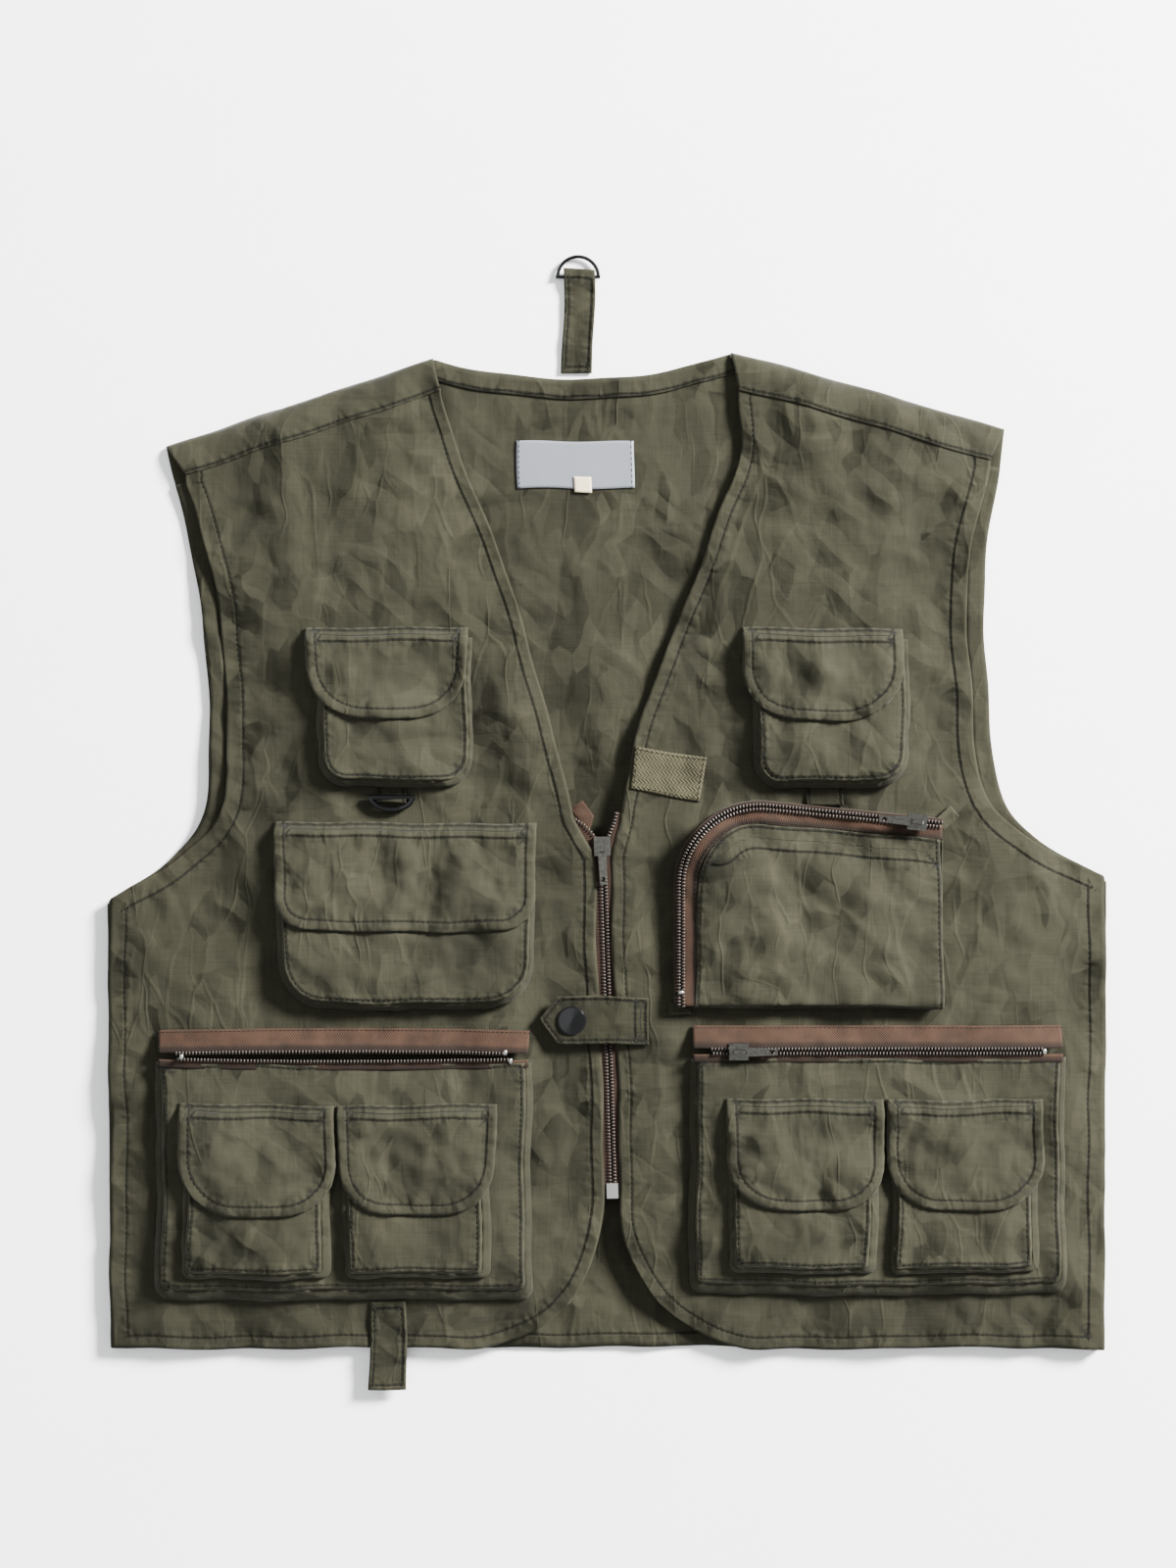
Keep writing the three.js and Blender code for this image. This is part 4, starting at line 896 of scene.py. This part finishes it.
# %% [markdown]
# # Zips
# A nylon zip is two tapes, each with a coil sewn along its edge. The coil shows as a row of short bars,
# 1 mm apart on a real size 5 zip and drawn 1.9 mm apart so that each bar still shows. One bar is a
# six-sided bead, and the bars of the two coils are half a step out of phase where the zip is closed.

# %% Zip helpers
around, corner = np.radians(np.arange(6) * 60), np.arange(6)
BAR = np.concatenate([np.stack([0.62 * w * np.cos(around), np.full(6, x), 0.62 * w * np.sin(around) + 0.2], -1)
                      for x, w in ((-1.1, 0.7), (-0.5, 1.0), (0.5, 1.0), (1.1, 0.7))])
band = np.stack([corner, np.roll(corner, -1), np.roll(corner, -1) + 6, corner + 6], -1)
BAR_FACES = np.concatenate([band + 6 * k for k in range(3)])
BAR_CAPS = np.array([[5, 4, 3, 2], [5, 2, 1, 0], [18, 19, 20, 21], [18, 21, 22, 23]])
BAR_ALL = np.concatenate([BAR_FACES, BAR_CAPS])
COIL_PITCH = 1.9


def coil(name, line, height, body, phase=0.0, lift=1.0):
    """Bars of nylon along a line of points on a surface."""
    flat = dense(line, COIL_PITCH)
    flat = flat[:-1] + (flat[1:] - flat[:-1]) * phase
    points = np.column_stack([flat, height(flat[:, 0], flat[:, 1]) + lift])
    return make_piece(name, *copies_along(BAR, BAR_ALL, points, np.gradient(points, axis=0)), nylon_coil, body)


def tape(name, line, inner, outer, height, body, nodes=(), material=None, step=1.6, stitch=None):
    """A strip from inner to outer millimetres to the left of a line, with its twill along the line."""
    line = dense(line, step)
    a, b = moved_in(line, inner), moved_in(line, outer)
    count = len(line)
    a, b = even(a, count), even(b, count)
    rows = max(4, int(abs(outer - inner) / 1.2) + 1)
    v = np.linspace(0, 1, rows)[:, None, None]
    plan = (1 - v) * a[None] + v * b[None]
    if outer < inner:
        plan = plan[::-1]
    x, y = plan[..., 0], plan[..., 1]
    points, faces = sheet_shell(np.dstack([x, y, height(x, y)]), 0.6)
    walked = np.arange(count) * step
    flat = np.stack(np.broadcast_arrays(walked[None], v[..., 0] * abs(outer - inner)), -1).reshape(-1, 2)
    piece = make_piece(name, points, faces, material or zip_tape, body, nodes, None, np.tile(flat, (2, 1)))
    declare(piece, plan)
    if stitch is not None:
        sew(moved_in(line, stitch), height, body, lift=0.5, pitch=2.6)
    return piece


# %% Cargo zips
for side, word in ((-1, "right"), (1, "left")):
    body, surface = f"front_{word}", zips[word]
    low, high = corners(f"cargo_zip_{word}")
    middle = high[1] - 15.0
    x = np.linspace(low[0] + 1, high[0] - 1, 120)
    share = (x - x[0]) / (x[-1] - x[0])
    gape = 1.3 + (1.5 * np.sin(np.pi * share) ** 0.7 if side < 0 else 0 * x)
    upper = np.column_stack([x, middle + gape])
    lower = np.column_stack([x, middle - gape])

    def zip_height(x, y, high=high, surface=surface):
        """The pouch's surface, sinking to the front at the tape's sewn top edge."""
        sunk = np.clip((y - high[1] + 13) / 13, 0, 1)
        return surface(x, np.minimum(y, high[1] - 27)) * (1 - sunk) + (front_height(x, y) + 1.2) * sunk + 0.3

    width = high[1] - middle
    tape(f"cargo_zip_tape_upper_{word}", upper, 0.4, width - 2.0, zip_height, body, [f"cargo_zip_{word}"],
         stitch=width - 3.2)
    tape(f"cargo_zip_tape_lower_{word}", lower, -0.4, -5.0, zip_height, body)
    coil(f"cargo_coil_upper_{word}", upper[6:-6], zip_height, body)
    coil(f"cargo_coil_lower_{word}", lower[6:-6], zip_height, body, phase=0.5)
    print("cargo zip", word, "made,", round(float(high[0] - low[0])), "mm wide")

# %% Zipped pocket on the wearer's left
r, fall = 45.0, 5.5  # the corner's radius, and the top's fall in degrees
left_x, bottom_y, right_x = 42.0, -62.7, 192.0
crest = bottom_y + 115.0
# The zip's line: up the side, round the corner, then down along the sloping top.
centre = (left_x + r, crest - r)
top_end = (right_x, crest - 0.2 - np.tan(np.radians(fall)) * (right_x - centre[0]))
zip_line = np.concatenate([[(left_x, bottom_y + 1)], arc(*centre, r, 180, 90 - fall, 30), [top_end]])
inner_line = moved_in(zip_line, -9.0)
inner_line = inner_line[inner_line[:, 0] < right_x - 0.3]
turn = np.argmin(np.abs(inner_line[:, 0] - inner_line[:, 1] - (left_x - crest + 14)))
face_edges = {"left": inner_line[: turn + 1], "top": inner_line[turn:],
              "bottom": [(left_x + 9, bottom_y), (right_x, bottom_y)], "right": [(right_x, bottom_y), inner_line[-1]]}


def zipped_surface(x, y):
    """The front, plus 9.5 at the zip and 12 in the middle, with long folds that run down to the right."""
    s, t = np.clip((x - left_x) / 150, 0, 1), np.clip((y - bottom_y) / 110, 0, 1)
    dome = np.sin(np.pi * np.clip(s, 0.0, 1)) * np.sin(np.pi * np.clip(0.1 + 0.85 * t, 0, 1))
    folds = 2.8 * crumple(x, y, 81, 50, 9, bias=0.75) + 0.9 * crumple(x, y, 82, 34)
    return front_height(x, y) + 9.5 + 2.5 * dome + folds * (0.25 + 0.75 * dome)


def zipped_face(x, y):
    """The surface, turned down at its bottom and right edges."""
    gap = np.minimum(y - bottom_y, right_x - x)
    return zipped_surface(x, y) - 1.6 * (1 - smooth(gap, 0, 2.5))


def below_surface(depth):
    """The height function of a surface that lies so far under the zipped one."""
    return lambda x, y: zipped_surface(x, y) - depth


body, name = "front_left", "zip_pocket"
cloth_piece(f"{name}_face", face_edges, zipped_face, body, [f"{name}_face", f"{name}_gusset"],
            {"left": 1.8, "top": [1.8, 14.0], "right": 2.0}, pocket_cotton, step=1.8)
tape(f"{name}_tape_inner", zip_line, -9.6, -0.3, below_surface(0.3), body, [f"{name}_zip"], stitch=-8.2)
tape(f"{name}_tape_outer", zip_line, 0.3, 3.6, below_surface(0.5), body)
coil(f"{name}_coil_inner", moved_in(zip_line, -1.3), zipped_surface, body, lift=0.7)
coil(f"{name}_coil_outer", moved_in(zip_line, 1.3), zipped_surface, body, phase=0.5, lift=0.7)
rim_line = np.concatenate([moved_in(zip_line, 3.4)[::-1], [(left_x, bottom_y)]])
low_line = [(left_x + 6, bottom_y), (right_x, bottom_y), (right_x, inner_line[-1][1])]
top = point3(even(rim_line, 200), below_surface(0.9))
foot = point3(even(moved_in(rim_line, -0.2), 200), front_height)
ribbon(f"{name}_gusset_outer", top, foot + [0, 0, 0.7], body, bulge=-1.0, seed=9, rows=9, material=pocket_cotton)
top, foot = (point3(even(low_line, 150), height) for height in (zipped_face, front_height))
ribbon(f"{name}_gusset_inner", top - [0, 0, 0.6], foot + [0, 0, 0.7], body, bulge=-2.2, seed=12, rows=9,
       material=pocket_cotton)

# %% [markdown]
# # Main zip
# Below the slider the two coils lie side by side in the gap between the fronts. Above it each one turns
# away with its front's edge, and its tape's loose end is folded over.

# %% Main zip
closed = np.array([(zip_middle(y), y) for y in np.linspace(-168, 26, 100)])


def zip_bed(x, y):
    """Level with the tape between the two fronts' edges."""
    return 10.6 + 0 * np.asarray(x, float)


ends = {-1: [(-4.5, 30), (-9, 37), (-14, 42), (-20, 46)], 1: [(-1.6, 31), (1.6, 38), (4, 44), (5.2, 49.5)]}
for side, word in ((-1, "right"), (1, "left")):
    body = f"front_{word}"
    middle = np.concatenate([closed + [side * 1.35, 0], ends[side]])
    # The line runs up, so its left is towards -x.
    tape(f"main_zip_tape_{word}", middle, side * 0.8, -side * 8.0, zip_bed, body, [f"main_zip_{word}"],
         material=dark_tape)
    coil(f"main_zip_coil_{word}", middle, zip_bed, body, phase=0.5 * (side > 0), lift=0.5)
print("main zip closed over", round(length_of(closed)), "mm")

# %% Zip stops
# A stop is a staple pinched over the coil: the same bead as a coil's bar, twice as large.
def stops(name, body, places):
    """Beads at each (x, y, z, turn in degrees)."""
    spots = np.asarray(places, float)
    way = np.column_stack([np.cos(np.radians(spots[:, 3])), np.sin(np.radians(spots[:, 3])), 0 * spots[:, 0]])
    return make_piece(name, *copies_along(BAR * [2.0, 1.4, 1.2], BAR_ALL, spots[:, :3], way), bright_stop, body)


(right_low, right_high), (_, left_high) = corners("cargo_zip_right"), corners("cargo_zip_left")
y_right, y_left = right_high[1] - 15, left_high[1] - 15
z_right = float(zips["right"](-150.0, y_right - 12)) + 1.6
z_left = float(zips["left"](150.0, y_left - 12)) + 1.6
stops("cargo_stops_right", "front_right", [
    (right_low[0] + 15, y_right, z_right, 0),
    (right_high[0] - 14, y_right + 2.4, z_right, 0),
    (right_high[0] - 11, y_right - 2.4, z_right, 0),
])
stops("cargo_stop_left", "front_left", [(left_high[0] - 12, y_left, z_left, 0)])
z_pocket = float(zipped_surface(*zip_line[0])) + 1.4
stops("zip_pocket_stop", "front_left", [(zip_line[0, 0], zip_line[0, 1] + 8, z_pocket, 90)])

# %% [markdown]
# # Strap, tabs, loops, patch and labels
# These are short pieces of folded cloth. Each is a strip with its own height, and its two long edges are
# topstitched. The patch is the soft half of a hook-and-loop pair, and the labels are woven satin.

# %% Strap and tabs
def strip(name, body, four, height, nodes=(), hems=None, material=None, thickness=1.3, step=1.6):
    """A cloth piece with four straight edges, given bottom left, bottom right, top right and top left."""
    a, b, c, d = np.asarray(four, float)
    edges = {"bottom": [a, b], "right": [b, c], "top": [d, c], "left": [a, d]}
    return cloth_piece(name, edges, height, body, nodes, hems, material, thickness, step)


(tip_x, y0, _), (_, y1, _) = span("waist_strap")
point_x, sewn_x = -29, 24  # where the strap starts to taper, and its sewn end
strap_edges = {
    "left": [(point_x, y0), (tip_x, (y0 + y1) / 2), (point_x, y1)],
    "right": [(sewn_x, y0), (sewn_x, y1)],
    "bottom": [(point_x, y0), (sewn_x, y0)],
    "top": [(point_x, y1), (sewn_x, y1)],
}


def strap_height(x, y):
    """16.7 over the zip, sinking by 3.6 towards the sewn end."""
    return 16.7 - 3.6 * smooth(x, 6, sewn_x) + 0.25 * crumple(x, y, 90, 18)


cloth_piece("waist_strap", strap_edges, strap_height, "waist_strap", ["waist_strap"],
            {"left": 2.2, "bottom": 2.2, "top": 2.2, "right": [2.0, 8.0]}, strap_cotton, 1.4, 1.2)
make_stitching("waist_strap", "waist_strap")
low, high = span("neck_tab")


def neck_tab_height(x, y):
    """On the floor, rising by 1.9 towards the ring."""
    return 1.2 + 1.9 * smooth(y, high[1] - 14, high[1] - 2) + 0.3 * crumple(x, y, 91, 16)


four = [(low[0] + 0.5, low[1] + 1.5), (high[0] - 2.5, low[1] + 1.0), (high[0] - 0.5, high[1] + 1),
        (low[0] + 2, high[1] + 2)]
hems = {"left": 2.4, "right": 2.4, "top": 5.5, "bottom": 3.5}
strip("neck_tab", "neck_tab", four, neck_tab_height, ["neck_tab"], hems)
make_stitching("neck_tab", "neck_tab")
low, high = span("hem_tab")


def tab_height(x, y):
    """On the front until the hem, then down towards the floor."""
    over = smooth(y, HEM_Y - 16, HEM_Y + 4)
    on_front = front_height(x, np.maximum(y, HEM_Y + 4)) + 1.2
    return on_front * over + 7.0 * (1 - over) + 0.4 * crumple(x, y, 92, 16)


four = [(low[0], low[1]), (high[0], low[1] + 1), (high[0] - 1, high[1]), (low[0] + 1, high[1])]
strip("hem_tab", "hem_tab", four, tab_height, ["hem_tab"], {"left": 2.4, "right": 2.4, "bottom": 3.0, "top": 4.0})
make_stitching("hem_tab", "hem_tab")
for side, word in ((-1, "right"), (1, "left")):
    name, rise = f"chest_loop_{word}", 3.4 if side < 0 else 0.8
    (x0, y0), (x1, y1) = corners(name)

    def loop_height(x, y, foot=y0, rise=rise):
        """On the front, and lifted by rise at its foot, where the right one holds its ring."""
        return front_height(x, y) + 1.2 + rise * (1 - smooth(y, foot, foot + 6))

    strip(name, f"front_{word}", [(x0, y0), (x1, y0), (x1, y1), (x0, y1)], loop_height, [name],
          {"left": 1.8, "right": 1.8}, strap_cotton, step=1.2)

# Short folded ends of cloth finish the zipped pocket's tape at both ends.
strip("zip_pocket_end_upper", "front_left", [(188, 44), (193.5, 38.5), (203, 47), (197, 53)],
      lambda x, y: front_height(x, y) + 1.2 + 4.5 * (1 - smooth(x, 188, 202)), step=1.2)
strip("zip_pocket_end_lower", "front_left", [(36, -66.5), (49, -66.5), (49, -60.5), (36.5, -59)],
      lambda x, y: front_height(x, y) + 1.3 + 1.5 * (1 - smooth(y, -66, -60)), step=1.2)
strip("main_zip_fold", "front_right", [(-11, 37), (-8.5, 47), (-15, 56), (-23, 51)],
      lambda x, y: 9.4 + 0.5 * crumple(x, y, 95, 14), material=zip_tape, thickness=0.7, step=1.2)

# %% Patch and labels
low, high = corners("chest_patch")
turned = np.radians(-9.0)
spin = np.array([[np.cos(turned), np.sin(turned)], [-np.sin(turned), np.cos(turned)]])
patch = np.array([(-20.5, -12.5), (20.5, -12.5), (20.5, 12.5), (-20.5, 12.5)]) @ spin + (low + high) / 2
strip("chest_patch", "front_left", patch, lambda x, y: front_height(x, y) + 1.1, ["chest_patch"],
      {"left": 1.6, "right": 1.6, "bottom": 1.6, "top": 1.6}, loop_tape, thickness=1.1, step=1.3)
(x0, y0), (x1, y1) = corners("neck_label")
strip("neck_label", "back", [(x0, y0), (x1, y0 + 1), (x1, y1), (x0, y1 - 1)], lambda x, y: back_height(x, y) + 1.1,
      ["neck_label"], {"left": 1.5, "right": 1.5}, white_satin, thickness=0.5, step=1.6)
(x0, y0), (x1, y1) = corners("size_label")
strip("size_label", "back", [(x0, y0), (x1, y0), (x1, y1), (x0, y1)], lambda x, y: back_height(x, y) + 1.9,
      ["size_label"], None, cream_satin, thickness=0.4, step=1.2)

# %% [markdown]
# # Metal parts from the frame
# The sliders, pulls, rings and the press stud were drawn as solids of the right shape, so they stay and
# only get their finish.

# %% Finishes for the solids
FINISH = dict.fromkeys(("snap_cap", "snap_socket", "snap_stud", "neck_ring", "chest_ring"), black_enamel)
for place in ("main_zip", "cargo", "zip_pocket"):
    FINISH |= {f"{place}_slider": gunmetal, f"{place}_pull": gunmetal}
FINISH["main_zip_box"] = bright_stop
for name, finish in FINISH.items():
    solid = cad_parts[name]
    solid.data.materials.clear()
    solid.data.materials.append(finish)
for group in list(sewn):
    make_stitching(group, group)
print(len(FINISH), "solids finished")

# %% [markdown]
# # Floor, light and camera
# The vest lies on a white floor under soft light from the upper right, with a large weak fill so that the
# shadows stay open. The camera looks straight down from 1.8 m.

# %% Floor
floor_points = np.array([(-1, -1, 0), (1, -1, 0), (1, 1, 0), (-1, 1, 0)]) * 15000.0 - [0, 0, 0.4]
mesh = bpy.data.meshes.new("floor")
mesh.from_pydata(floor_points * MM, [], [(0, 1, 2, 3)])
mesh.materials.append(plain("white_painted_floor", "#fbfbfb", "#ffffff", 60, 0.9, bump=0.0))
floor = bpy.data.objects.new("floor", mesh)
bpy.context.scene.collection.objects.link(floor)
print("floor", round(2 * floor_points[1, 0] * MM), "m wide")

# %% Light
def area_light(name, place, size, power, colour):
    """A square lamp at a place in metres, turned so that it shines at the vest's middle."""
    lamp = bpy.data.lights.new(name, "AREA")
    lamp.shape, lamp.size, lamp.energy, lamp.color = "SQUARE", size, power, colour
    held = bpy.data.objects.new(name, lamp)
    held.location = place
    held.rotation_euler = (-Vector(place)).to_track_quat("-Z", "Y").to_euler()
    bpy.context.scene.collection.objects.link(held)


area_light("window", (3.4, 2.4, 2.3), 1.2, 2150.0, (1.0, 0.99, 0.97))
area_light("fill", (-1.0, 0.4, 2.4), 2.5, 30.0, (0.96, 0.98, 1.0))
world = bpy.data.worlds.new("room")
world.use_nodes = True
world.node_tree.nodes["Background"].inputs[0].default_value = linear("#f2f4f6")
world.node_tree.nodes["Background"].inputs[1].default_value = 0.95
bpy.context.scene.world = world
print("lamps:", ", ".join(lamp.name for lamp in bpy.data.lights))

# %% Camera
HEIGHT, VIEW = 1.8, 0.902
lens = bpy.data.cameras.new("camera")
lens.sensor_fit, lens.sensor_height, lens.sensor_width = "VERTICAL", 24.0, 18.0
lens.lens = 24.0 * (HEIGHT - 0.01) / VIEW
camera = bpy.data.objects.new("camera", lens)
camera.location = (-0.0112, 0.0655, HEIGHT)
bpy.context.scene.collection.objects.link(camera)
bpy.context.scene.camera = camera
print("lens", round(lens.lens, 1), "mm")

# %% Finish
for name, size in cut_sizes.items():
    print("cut", name, size)
